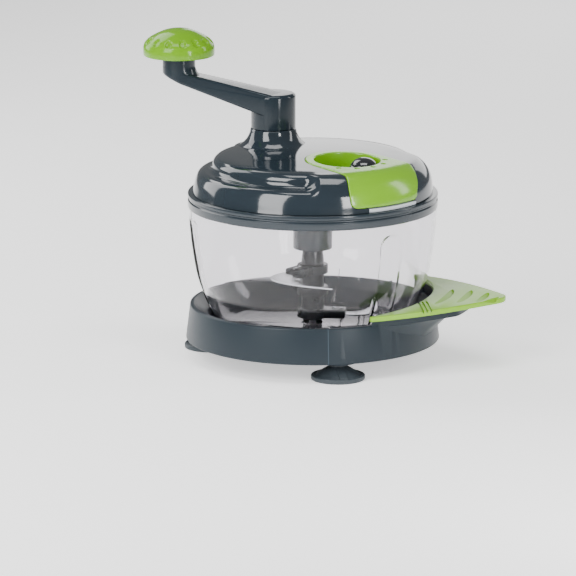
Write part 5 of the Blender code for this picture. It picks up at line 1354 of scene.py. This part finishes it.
class CHOPPER_OT_stage(PieceOperator, bpy.types.Operator):
    """Set up the floor, the lamps and the camera"""

    bl_idname = "chopper.stage"
    bl_label = "Stage"

    def execute(self, context):
        stage = context.scene.chopper_stage
        floor = slab("floor", [(-6.0, -6.0), (6.0, -6.0), (6.0, 6.0), (-6.0, 6.0)], -0.02, -0.0001)
        paper = Finish("floor_paper")
        paper.set(
            Base_Color=paper.between(paper.noise(3.0), rgba(stage.floor, 0.99), rgba(stage.floor)),
            Roughness=0.85,
            Specular_IOR_Level=0.1,
            Emission_Strength=stage.glow,
        )
        ahead = paper.place(shift=(-AXIS.x, -AXIS.y - GLOW_BEHIND, 0.0))
        far = paper.node("ShaderNodeVectorMath", {"operation": "LENGTH"}, ahead, output="Value")
        near = paper.math_step(far, GLOW_R, GLOW_R + GLOW_FADE)
        paper.set(Emission_Color=paper.between(near, rgba((0.0, 0.0, 0.0)), rgba((1.0, 1.0, 1.0))))
        floor.data.materials.append(paper.material)
        turn = math.radians(stage.azimuth)
        right = Vector((math.cos(turn), math.sin(turn), 0.0))
        back = Vector((math.sin(turn), -math.cos(turn), 0.0))
        axis = Vector((AXIS.x, AXIS.y, 0.0))
        eye = axis + back * stage.distance + Vector((0.0, 0.0, stage.height))
        aim = axis + right * stage.aim_aside + Vector((0.0, 0.0, stage.aim_z))
        camera = bpy.data.objects.new("camera", bpy.data.cameras.new("camera"))
        camera.data.lens = stage.lens
        camera.data.sensor_width = 36.0
        camera.data.clip_start = 0.1
        camera.data.clip_end = 60.0
        camera.location = eye
        camera.rotation_euler = (aim - eye).to_track_quat("-Z", "Y").to_euler()
        context.scene.collection.objects.link(camera)
        context.scene.camera = camera
        world = context.scene.world or bpy.data.worlds.new("studio")
        context.scene.world = world
        world.use_nodes = True
        sky = world.node_tree.nodes["Background"]
        sky.inputs["Color"].default_value = (1.0, 1.0, 1.0, 1.0)
        sky.inputs["Strength"].default_value = 0.24 * stage.light
        lamps = (
            ("patch_left", -40.0, 28.0, 1.4, 0.60, 0.96, 19.0),
            ("key_left", -118.0, 26.0, 1.4, 0.60, 1.2, 10.0),
            ("strip_right", 31.0, 10.0, 0.80, 0.12, 0.34, 2.4),
            ("edge_right", 96.0, 20.0, 1.6, 0.30, 0.9, 5.5),
            ("top", 0.0, 80.0, 1.7, 1.1, 0.6, 13.0),
            ("backdrop", 162.0, 13.0, 2.0, 1.4, 0.7, 6.5),
            ("back_left", -145.0, 42.0, 1.6, 0.6, 0.8, 6.0),
        )
        centre = axis + Vector((0.0, 0.0, 0.13))
        for name, aside, above, away, wide, high, watts in lamps:
            around = math.radians(stage.azimuth + aside)
            lift = math.radians(above)
            toward = Vector((math.sin(around) * math.cos(lift), -math.cos(around) * math.cos(lift),
                             math.sin(lift)))
            lamp = bpy.data.objects.new(name, bpy.data.lights.new(name, "AREA"))
            lamp.data.shape = "RECTANGLE"
            lamp.data.size = wide
            lamp.data.size_y = high
            lamp.data.energy = watts * stage.light
            lamp.location = centre + toward * away
            lamp.rotation_euler = toward.to_track_quat("Z", "Y").to_euler()
            lamp.visible_camera = False
            context.scene.collection.objects.link(lamp)
        return {"FINISHED"}


class CHOPPER_OT_base(PieceOperator, bpy.types.Operator):
    """Make the base with its pads, bracket and ribs"""

    bl_idname = "chopper.base"
    bl_label = "Base"

    def execute(self, context):
        sizes = context.scene.chopper_base
        finish = finishes(context)
        base = turned("base_body", eased(BASE_CORNERS, 5), sizes.steps)
        for degrees in CUP_DEGS:
            centre = polar(CUP_CIRCLE_R, degrees).xy + AXIS
            join(base, turned("pad", eased(PAD_CORNERS, 4, False), 72, centre, ring=False))
            carve(base, drum("stem_hole", CUP_STEM_R, PAD_FOOT_Z, CUP_STEM_TOP_Z, centre))
        join(base, capped("bracket", bracket_rows()))
        dress(base, finish["base_plastic"], "base", "base_shell")
        half = sizes.rib_thick / 2.0
        outline = [(radius, height) for radius, height in RIB_FEET]
        count = len(outline)
        reach = RIB_FEET[0][0]
        points = [(radius - reach, side, height) for side in (-half, half)
                  for radius, height in outline]
        faces = [(at, (at + 1) % count, (at + 1) % count + count, at + count)
                 for at in range(count)]
        faces += [tuple(range(count)), tuple(range(count, 2 * count))]
        rib = solid("rib", points, faces)
        ribs = ring_of_copies(finish["base_plastic"], rib, "base_ribs", sizes.rib_count, reach)
        spin_about_axis(ribs, 180.0 / sizes.rib_count)
        dress(ribs, finish["base_plastic"], "base")
        return {"FINISHED"}


class CHOPPER_OT_leaf(PieceOperator, bpy.types.Operator):
    """Make the leaf shaped handle with its grooves and ridges"""

    bl_idname = "chopper.leaf"
    bl_label = "Leaf handle"

    def execute(self, context):
        sizes = context.scene.chopper_base
        leaf = slab("leaf_lime", leaf_outline(), lambda point: leaf_top_z(point) - LEAF_THICK,
                    leaf_top_z)
        soften(leaf, 0.0007, 3)
        for groove in GROOVES:
            carve(leaf, scoop(sizes.groove_depth, *groove))
        middle = polar(RIDGE_CIRCLE_R, RIDGE_DEG).xy + AXIS
        along = polar(RIDGE_LENGTH / 2.0, RIDGE_TURN_DEG).xy
        for number in (-1.0, 0.0, 1.0):
            near = middle + polar(number * RIDGE_PITCH - RIDGE_SLOT / 2.0, RIDGE_TURN_DEG + 90.0).xy
            far = near + polar(RIDGE_SLOT, RIDGE_TURN_DEG + 90.0).xy
            outline = [tuple(corner) for corner in (near - along, near + along, far + along,
                                                    far - along)]
            carve(leaf, slab("slot", outline,
                             lambda point: leaf_top_z(point) - sizes.ridge_depth,
                             lambda point: leaf_top_z(point) + 0.004))
        dress(leaf, finishes(context)["leaf_plastic"], "base", "leaf_handle")
        return {"FINISHED"}


class CHOPPER_OT_cups(PieceOperator, bpy.types.Operator):
    """Make the suction cups"""

    bl_idname = "chopper.cups"
    bl_label = "Suction cups"

    def execute(self, context):
        rubber = finishes(context)["cup_rubber"]
        for name, degrees in zip(("cup_front", "cup_rear", "cup_side"), CUP_DEGS):
            centre = polar(CUP_CIRCLE_R, degrees).xy + AXIS
            cup = turned(name + "_rubber", eased(CUP_CORNERS, 4, False), 96, centre, ring=False)
            tab = []
            for side in (-0.003, 0.003):
                tab.append([(0.0098, side, 0.0082), (0.0210, side, 0.0026),
                            (0.0210, side, 0.0050), (0.0098, side, 0.0099)])
            grip = capped("tab", tab)
            turn = Matrix.Rotation(math.radians(degrees), 4, "Z")
            grip.data.transform(Matrix.Translation((centre.x, centre.y, 0.0)) @ turn)
            join(cup, grip)
            dress(cup, rubber, "base", name)
        return {"FINISHED"}


class CHOPPER_OT_bowl(PieceOperator, bpy.types.Operator):
    """Make the clear bowl and its pin"""

    bl_idname = "chopper.bowl"
    bl_label = "Bowl"

    def execute(self, context):
        sizes = context.scene.chopper_bowl
        finish = finishes(context)
        bowl = solid("bowl_clear", *woven(bowl_rows(sizes)))
        dress(bowl, finish["clear_bowl"], "bowl", "bowl")
        pin = turned("bowl_pin_steel", eased([
            (0.0, PIN_TOP_Z, 0.0), (PIN_R, PIN_TOP_Z, 0.0008), (PIN_R, 0.0267, 0.0),
            (0.0, 0.0267, 0.0)], 4, False), 48, ring=False)
        dress(pin, finish["screw_steel"], "bowl", "bowl_pin")
        return {"FINISHED"}


class CHOPPER_OT_blades(PieceOperator, bpy.types.Operator):
    """Make the blade holder, its blades and their rivets"""

    bl_idname = "chopper.blades"
    bl_label = "Blades"

    def execute(self, context):
        sizes = context.scene.chopper_bowl
        finish = finishes(context)
        foot = BOWL_FLOOR_Z + 0.0024 + FLOOR_BOSS_RISE + 0.0003
        corners = [
            (0.0, PIN_TOP_Z + 0.0003, 0.0),
            (0.0, SHAFT_TOP_Z, 0.0),
            (0.0082, SHAFT_TOP_Z, 0.0010),
            (SHAFT_R, BLADE_LEVELS[-1] + 0.0076, 0.0010),
        ]
        for level in reversed(BLADE_LEVELS):
            corners += [
                (SHAFT_R, level + EAR_HALF_HEIGHT, 0.0006),
                (COLLAR_R, level + EAR_HALF_HEIGHT, 0.0008),
                (COLLAR_R, level - EAR_HALF_HEIGHT, 0.0008),
                (SHAFT_R, level - EAR_HALF_HEIGHT, 0.0006),
            ]
        corners += [(SHAFT_R, foot, 0.0006), (0.0033, foot, 0.0), (0.0033, PIN_TOP_Z + 0.0003, 0.0)]
        shaft = turned("blade_holder", eased(corners, 4), 96)
        hexagon = [tuple(polar(HEX_HALF / math.cos(math.radians(30.0)), 60.0 * side).xy + AXIS)
                   for side in range(6)]
        head = slab("head", hexagon, SHAFT_TOP_Z - 0.0012, HEX_TOP_Z)
        join(shaft, soften(head, 0.0005, 2))
        rivet_places = []
        for name, level, degrees, reach in zip(BLADE_NAMES, BLADE_LEVELS, BLADE_DEGS, BLADE_REACHES):
            ear = slab("ear", [(0.0083, -EAR_HALF), (EAR_REACH, -EAR_HALF), (EAR_REACH, EAR_HALF),
                               (0.0083, EAR_HALF)],
                       level - EAR_HALF_HEIGHT + 0.0003, level + EAR_HALF_HEIGHT - 0.0003)
            soften(ear, 0.0010, 3)
            room = slab("room", [(BLADE_ROOT_R - 0.0003, -0.0063), (0.0320, -0.0063),
                                 (0.0320, 0.0063), (BLADE_ROOT_R - 0.0003, 0.0063)],
                        level - 0.0009, level + 0.0009)
            turn = Matrix.Translation((AXIS.x, AXIS.y, 0.0)) @ Matrix.Rotation(
                math.radians(degrees), 4, "Z")
            ear.data.transform(turn)
            room.data.transform(turn)
            join(shaft, ear)
            carve(shaft, room)
            blade = self.blade(name, level, reach, sizes.blade_thick)
            blade.data.transform(turn)
            dress(blade, finish["blade_steel"], "blades", name)
            rivet_places += [at_axis(polar(radius, degrees, level)) for radius in RIVET_RADII]
        dress(shaft, finish["shaft_plastic"], "blades", "blade_shaft")
        rivet = turned("rivet", eased([
            (0.0, 0.0046, 0.0), (0.0016, 0.0046, 0.0006), (0.0022, 0.0038, 0.0003),
            (0.0022, -0.0038, 0.0003), (0.0016, -0.0046, 0.0006), (0.0, -0.0046, 0.0)], 3, False),
            32, (0.0, 0.0), ring=False)
        rivets = copies_at(finish["blade_steel"], rivet, "blade_rivets", rivet_places)
        dress(rivets, finish["blade_steel"], "blades",
              *["blade_rivet_%d" % (number + 1) for number in range(6)])
        return {"FINISHED"}

    @staticmethod
    def blade(name, level, reach, thick):
        """A curved blade along +X: a flat back and a ground edge."""
        tip = Vector((0.66, 0.75)) * reach
        back_pull = Vector((0.92, -0.20)) * reach
        edge_pull = Vector((0.66, 0.10)) * reach
        top = level + thick / 2.0
        low = level - thick / 2.0
        rows = []
        for share in (0.0, 0.5, 1.0):
            x = BLADE_ROOT_R + (EAR_REACH - BLADE_ROOT_R) * share
            rows.append((Vector((x, -BLADE_ROOT_HALF)), Vector((x, BLADE_ROOT_HALF)), 1.0))
        steps = 56
        for step in range(steps + 1):
            share = 0.985 * step / steps
            rest = 1.0 - share
            back = (Vector((0.0285, -0.0080)) * rest * rest + back_pull * 2.0 * rest * share
                    + tip * share * share)
            edge = (Vector((0.0285, 0.0080)) * rest * rest + edge_pull * 2.0 * rest * share
                    + tip * share * share)
            rows.append((back, edge, 0.72))
        sections = []
        for back, edge, flat in rows:
            ridge = back.lerp(edge, flat)
            thin = edge.lerp(ridge, 0.02)
            sections.append([(back.x, back.y, top), (ridge.x, ridge.y, top),
                             (thin.x, thin.y, low + thick * 0.08), (edge.x, edge.y, low),
                             (back.x, back.y, low)])
        return capped(name + "_steel", sections, 20.0)


class CHOPPER_OT_ring(PieceOperator, bpy.types.Operator):
    """Make the lid's ring with its tray and sleeve, and the gasket"""

    bl_idname = "chopper.ring"
    bl_label = "Lid ring"

    def execute(self, context):
        sizes = context.scene.chopper_lid
        finish = finishes(context)
        ring = turned("lid_ring", eased(RING_CORNERS, 4), sizes.steps)
        dress(ring, finish["ring_plastic"], "lid", "lid_base")
        gasket = turned("gasket", eased(GASKET_CORNERS, 4), sizes.steps)
        dress(gasket, finish["seal_rubber"], "lid", "lid_gasket")
        return {"FINISHED"}


class CHOPPER_OT_cover(PieceOperator, bpy.types.Operator):
    """Make the glossy cover with the boss for the crank"""

    bl_idname = "chopper.cover"
    bl_label = "Lid cover"

    def execute(self, context):
        sizes = context.scene.chopper_lid
        cover = cover_shell(sizes)
        curve = [tuple(point) for point in flowing_open(BOSS_CURVE, 6)]
        profile = [(BOSS_BORE_R, BOSS_CURVE[0][1]), (BOSS_CURVE[0][0] - 0.0008, BOSS_CURVE[0][1]),
                   (BOSS_CURVE[0][0], BOSS_CURVE[0][1] - 0.0006)] + curve[2:]
        profile += [(BOSS_CURVE[-1][0], BOSS_SKIRT_Z + 0.0012), (BOSS_TUBE_R, BOSS_SKIRT_Z),
                    (BOSS_TUBE_R, BOSS_TUBE_Z), (BOSS_BORE_R, BOSS_TUBE_Z)]
        join(cover, turned("boss", profile, 120, CRANK))
        carve(cover, drum("bore", BOSS_BORE_R, 0.155, 0.192, CRANK))
        carve(cover, recess_tool(sizes))
        well = at_axis(turned_in((WELL_AT, 0.0, 0.0)))
        carve(cover, drum("well_hole", WELL_R + WELL_WALL + 0.0003, 0.15, 0.19, well.xy, 96))
        corners = [(TONGUE_BACK, -TONGUE_HALF - 0.0003), (0.109, -TONGUE_HALF - 0.0003),
                   (0.109, TONGUE_HALF + 0.0003), (TONGUE_BACK, TONGUE_HALF + 0.0003)]
        outline = [tuple(at_axis(turned_in((x, y, 0.0))).xy) for x, y in corners]
        carve(cover, slab("tongue_slot", outline, 0.137, TONGUE_TOP_Z + 0.0006))
        dress(cover, finishes(context)["lid_gloss"], "lid", "lid_cover")
        return {"FINISHED"}


class CHOPPER_OT_insert(PieceOperator, bpy.types.Operator):
    """Make the insert with the finger well and the tab"""

    bl_idname = "chopper.insert"
    bl_label = "Insert"

    def execute(self, context):
        sizes = context.scene.chopper_lid
        insert = insert_piece(sizes)
        button = at_axis(turned_in((*BUTTON_AT, 0.0)))
        carve(insert, drum("button_hole", BUTTON_R + 0.0003, 0.150, 0.1615, button.xy, 72))
        for number in range(5):
            degrees = (number - 2.0) * DIMPLE_STEP_DEG
            spot = polar(DIMPLE_CIRCLE_R, degrees).xy + Vector((WELL_AT, 0.0))
            top = SKIN.point(*SKIN.flat(*spot), sizes.proud)
            bm = bmesh.new()
            bmesh.ops.create_uvsphere(bm, u_segments=24, v_segments=12, radius=DIMPLE_R * 1.25)
            bmesh.ops.scale(bm, verts=bm.verts, vec=(1.0, 1.0, 0.75))
            mesh = bpy.data.meshes.new("dimple")
            bm.to_mesh(mesh)
            bm.free()
            mesh.transform(Matrix.Translation(top))
            carve(insert, placed("dimple", mesh))
        dress(insert, finishes(context)["lime_plastic"], "lid", "well_insert")
        return {"FINISHED"}


class CHOPPER_OT_button(PieceOperator, bpy.types.Operator):
    """Make the release button and the latch tongue"""

    bl_idname = "chopper.button"
    bl_label = "Button and tongue"

    def execute(self, context):
        finish = finishes(context)
        centre = at_axis(turned_in((*BUTTON_AT, 0.0)))
        rise = BUTTON_TOP_Z - BUTTON_SIDE_Z
        dome = [(BUTTON_R * math.sin(math.radians(90.0 * step / 20.0)),
                 BUTTON_SIDE_Z + rise * math.cos(math.radians(90.0 * step / 20.0)))
                for step in range(21)]
        button = turned("button_dome", dome + eased(BUTTON_CORNERS, 3, False), 96, centre.xy,
                        ring=False)
        dress(button, finish["button_gloss"], "button", "release_button")
        half_deg = math.degrees(math.asin(TONGUE_HALF / TONGUE_R))
        outline = [(TONGUE_BACK, TONGUE_HALF)]
        outline += [tuple(polar(TONGUE_R, half_deg * (1.0 - step / 24.0)).xy)
                    for step in range(49)]
        outline.append((TONGUE_BACK, -TONGUE_HALF))
        outline = [tuple(at_axis(turned_in((x, y, 0.0))).xy) for x, y in outline]
        tongue = soften(slab("tongue", outline, TONGUE_FOOT_Z, TONGUE_TOP_Z), 0.0005, 2)
        # The tongue's pale finish is a painted highlight along the ledge under the tab.
        dress(tongue, finish["tongue_plastic"], "tongue", "latch_tongue")
        return {"FINISHED"}


class CHOPPER_OT_crank(PieceOperator, bpy.types.Operator):
    """Make the crank arm with its hub and post"""

    bl_idname = "chopper.crank"
    bl_label = "Crank arm"

    def execute(self, context):
        sizes = context.scene.chopper_crank
        hub = turned("crank_gloss", eased([
            (0.0, HUB_TOP_Z, 0.0), (HUB_R, HUB_TOP_Z, 0.0030), (HUB_R, HUB_FOOT_Z, 0.0006),
            (0.0, HUB_FOOT_Z, 0.0)], 8, False), 144, (0.0, 0.0), ring=False)
        join(hub, self.bar(sizes))
        join(hub, self.post(sizes))
        hexagon = [tuple(polar(SOCKET_HALF / math.cos(math.radians(30.0)), 60.0 * side).xy)
                   for side in range(6)]
        carve(hub, slab("socket", hexagon, HUB_FOOT_Z - 0.004, SOCKET_TOP_Z))
        carve(hub, drum("pin_hole", 0.0033, 0.2320, POST_TOP_Z + 0.004, (THROW, 0.0), 32))
        hub.data.transform(Matrix.Translation((CRANK.x, CRANK.y, 0.0))
                           @ Matrix.Rotation(math.radians(ARM_DEG), 4, "Z"))
        dress(hub, finishes(context)["crank_gloss"], "crank", "crank_arm")
        return {"FINISHED"}

    @staticmethod
    def bar(sizes):
        """The sloping bar: one outline in plan, eased over at its top and underside."""
        lean = math.degrees(math.asin((ARM_HUB_HALF - POST_R) / THROW))
        steps = 32

        def ring(inset):
            points = []
            for step in range(steps + 1):
                degrees = -90.0 + lean + (180.0 - 2.0 * lean) * step / steps
                points.append(Vector((THROW, 0.0)) + polar(POST_R - inset, degrees).xy)
            for step in range(steps + 1):
                degrees = 90.0 - lean + (180.0 + 2.0 * lean) * step / steps
                points.append(polar(ARM_HUB_HALF - inset, degrees).xy)
            return points

        def top_z(x):
            return HUB_TOP_Z - 0.0012 + max(x, 0.0) * ARM_TOP_SLOPE

        def low_z(x):
            return ARM_UNDER_Z + max(x - ARM_HUB_HALF, 0.0) * ARM_UNDER_SLOPE

        edge = sizes.edge
        rows = []
        for step in range(7):
            angle = math.radians(90.0 * step / 6.0)
            inset = edge * (1.0 - math.sin(angle))
            drop = edge * (1.0 - math.cos(angle))
            rows.append([(point.x, point.y, low_z(point.x) + drop) for point in ring(inset)])
        for step in range(7):
            angle = math.radians(90.0 * step / 6.0)
            inset = edge * (1.0 - math.cos(angle))
            drop = edge * (1.0 - math.sin(angle))
            rows.append([(point.x, point.y, top_z(point.x) - drop) for point in ring(inset)])
        return capped("bar", rows)

    @staticmethod
    def post(sizes):
        """The post under the knob, filleted into the bar and flush with its end."""
        count = 144
        stem = POST_R + 0.00005
        top = HUB_TOP_Z - 0.0012 + THROW * ARM_TOP_SLOPE
        start = top + sizes.fillet
        profile = [(0.0, POST_TOP_Z), (POST_R - 0.0009, POST_TOP_Z),
                   (POST_R - 0.0003, POST_TOP_Z - 0.0006)]
        profile += [(stem, POST_TOP_Z - 0.0010 - (POST_TOP_Z - 0.0010 - start) * step / 8.0)
                    for step in range(9)]
        rows = []
        for radius, height in profile:
            rows.append([polar(radius, 360.0 * k / count, height) for k in range(count)])
        for step in range(1, 13):
            angle = math.radians(90.0 * step / 12.0)
            row = []
            for k in range(count):
                around = polar(1.0, 360.0 * k / count)
                spread = sizes.fillet * (1.0 - math.cos(angle)) * max(around.x * -1.0, 0.0) ** 2
                place = around * (stem + spread)
                place.z = (top + sizes.fillet * (1.0 - math.sin(angle))
                           + (place.x * ARM_TOP_SLOPE - 0.0002) * step / 12.0)
                row.append(place)
            rows.append(row)
        for radius, rise in ((stem, 0.0003), (POST_R - 0.0030, 0.0006), (0.0, 0.0006)):
            row = []
            for k in range(count):
                place = polar(radius, 360.0 * k / count)
                under = ARM_UNDER_Z + (THROW + place.x - ARM_HUB_HALF) * ARM_UNDER_SLOPE
                place.z = under + sizes.edge + rise
                row.append(place)
            rows.append(row)
        rows = [[point + Vector((THROW, 0.0, 0.0)) for point in row] for row in rows]
        return solid("post", *woven(rows))


class CHOPPER_OT_knob(PieceOperator, bpy.types.Operator):
    """Make the knob with its dimples, and the pin it turns on"""

    bl_idname = "chopper.knob"
    bl_label = "Knob"

    def execute(self, context):
        sizes = context.scene.chopper_crank
        finish = finishes(context)
        outside = flowing(list(KNOB_SIDE)[::-1], 6)
        inside = set_in(outside, KNOB_WALL)
        inside[0] = (0.0, outside[0][1] - KNOB_WALL)
        upper = [tuple(point) for point in inside if point[1] > KNOB_WEB_Z + KNOB_WALL][::2]
        wall_r = KNOB_SIDE[1][0] - KNOB_WALL
        profile = [tuple(point) for point in outside[:-1]] + [
            (KNOB_SIDE[0][0] - 0.0002, KNOB_SIDE[0][1] + 0.0004),
            (KNOB_SIDE[0][0] - 0.0006, KNOB_SIDE[0][1]),
            (KNOB_SIDE[0][0] - KNOB_WALL + 0.0003, KNOB_SIDE[0][1]),
            (wall_r, KNOB_WEB_Z - 0.0006),
            (wall_r - 0.0006, KNOB_WEB_Z),
            (KNOB_SLEEVE_R, KNOB_WEB_Z),
            (KNOB_SLEEVE_R, KNOB_SIDE[0][1]),
            (KNOB_BORE_R, KNOB_SIDE[0][1]),
            (KNOB_BORE_R, KNOB_SLEEVE_TOP_Z),
            (KNOB_SLEEVE_R, KNOB_SLEEVE_TOP_Z),
            (KNOB_SLEEVE_R, KNOB_WEB_Z + KNOB_WALL),
            (wall_r - 0.0012, KNOB_WEB_Z + KNOB_WALL),
        ] + upper[::-1]
        outer_count = len(outside) - 1
        rows = []
        for number, (radius, height) in enumerate(profile):
            row = []
            for step in range(sizes.steps):
                degrees = 360.0 * step / sizes.steps
                press = 0.0
                if number < outer_count and radius > 0.0 and sizes.dimples:
                    gap = 360.0 / sizes.dimples
                    away = (degrees - gap / 2.0 - ARM_DEG + gap / 2.0) % gap - gap / 2.0
                    aside = math.radians(away) * radius
                    far = math.hypot(aside, (height - KNOB_DIMPLE_Z) * 1.15)
                    share = max(1.0 - (far / KNOB_DIMPLE_R) ** 2, 0.0)
                    press = sizes.dimple_depth * smooth_step(share * 1.4)
                place = polar(radius - press * 0.8, degrees, height - press * 0.6)
                row.append((KNOB.x + place.x, KNOB.y + place.y, place.z))
            rows.append(row)
        knob = solid("knob_lime", *woven(rows, round_rows=True))
        dress(knob, finish["knob_plastic"], "knob", "knob")
        low = KNOB_SLEEVE_TOP_Z + 0.0003
        pin = turned("knob_pin_steel", eased([
            (0.0, low + 0.0022, 0.0), (0.0052, low + 0.0022, 0.0007), (0.0052, low, 0.0002),
            (0.0030, low, 0.0), (0.0030, 0.2323, 0.0004), (0.0, 0.2323, 0.0)], 4, False),
            48, KNOB, ring=False)
        dress(pin, finish["screw_steel"], "crank", "knob_pin")
        return {"FINISHED"}


class CHOPPER_OT_inner(PieceOperator, bpy.types.Operator):
    """Finish the frame's own gears, screws and bush"""

    bl_idname = "chopper.inner"
    bl_label = "Inner works"

    def execute(self, context):
        finish = finishes(context)
        wanted = {
            "gear_plastic": ("pinion_gear", "drive_gear", "spindle_bush"),
            "screw_steel": ("crank_spindle", "gear_screw", "button_spring", "leaf_screw_1",
                            "leaf_screw_2", "lid_screw_1", "lid_screw_2", "lid_screw_3",
                            "lid_screw_4"),
        }
        for name, nodes in wanted.items():
            for node in nodes:
                slots = frame["nodes"][node].material_slots
                for slot in slots:
                    slot.material = finish[name]
        return {"FINISHED"}


class CHOPPER_PT_pieces(bpy.types.Panel):
    """The pieces of the chopper and their sizes"""

    bl_idname = "CHOPPER_PT_pieces"
    bl_label = "Food chopper"
    bl_space_type = "VIEW_3D"
    bl_region_type = "UI"
    bl_category = "Chopper"

    def draw(self, context):
        for operator in OPERATORS:
            self.layout.operator(operator.bl_idname)
        for name in GROUPS:
            settings = getattr(context.scene, name)
            box = self.layout.box()
            for label in settings.__annotations__:
                box.prop(settings, label)


GROUPS = {
    "chopper_stage": ChopperStage,
    "chopper_finish": ChopperFinish,
    "chopper_base": ChopperBase,
    "chopper_bowl": ChopperBowl,
    "chopper_lid": ChopperLid,
    "chopper_crank": ChopperCrank,
}
OPERATORS = (
    CHOPPER_OT_stage,
    CHOPPER_OT_base,
    CHOPPER_OT_leaf,
    CHOPPER_OT_cups,
    CHOPPER_OT_bowl,
    CHOPPER_OT_blades,
    CHOPPER_OT_ring,
    CHOPPER_OT_cover,
    CHOPPER_OT_insert,
    CHOPPER_OT_button,
    CHOPPER_OT_crank,
    CHOPPER_OT_knob,
    CHOPPER_OT_inner,
)


def register():
    for name, group in GROUPS.items():
        bpy.utils.register_class(group)
        setattr(bpy.types.Scene, name, PointerProperty(type=group))
    for made in (*OPERATORS, CHOPPER_PT_pieces):
        bpy.utils.register_class(made)


def unregister():
    for made in (CHOPPER_PT_pieces, *reversed(OPERATORS)):
        bpy.utils.unregister_class(made)
    for name, group in reversed(GROUPS.items()):
        delattr(bpy.types.Scene, name)
        bpy.utils.unregister_class(group)


def main():
    register()
    for operator in OPERATORS:
        prefix, name = operator.bl_idname.split(".")
        getattr(getattr(bpy.ops, prefix), name)()


if __name__ == "__main__":
    main()
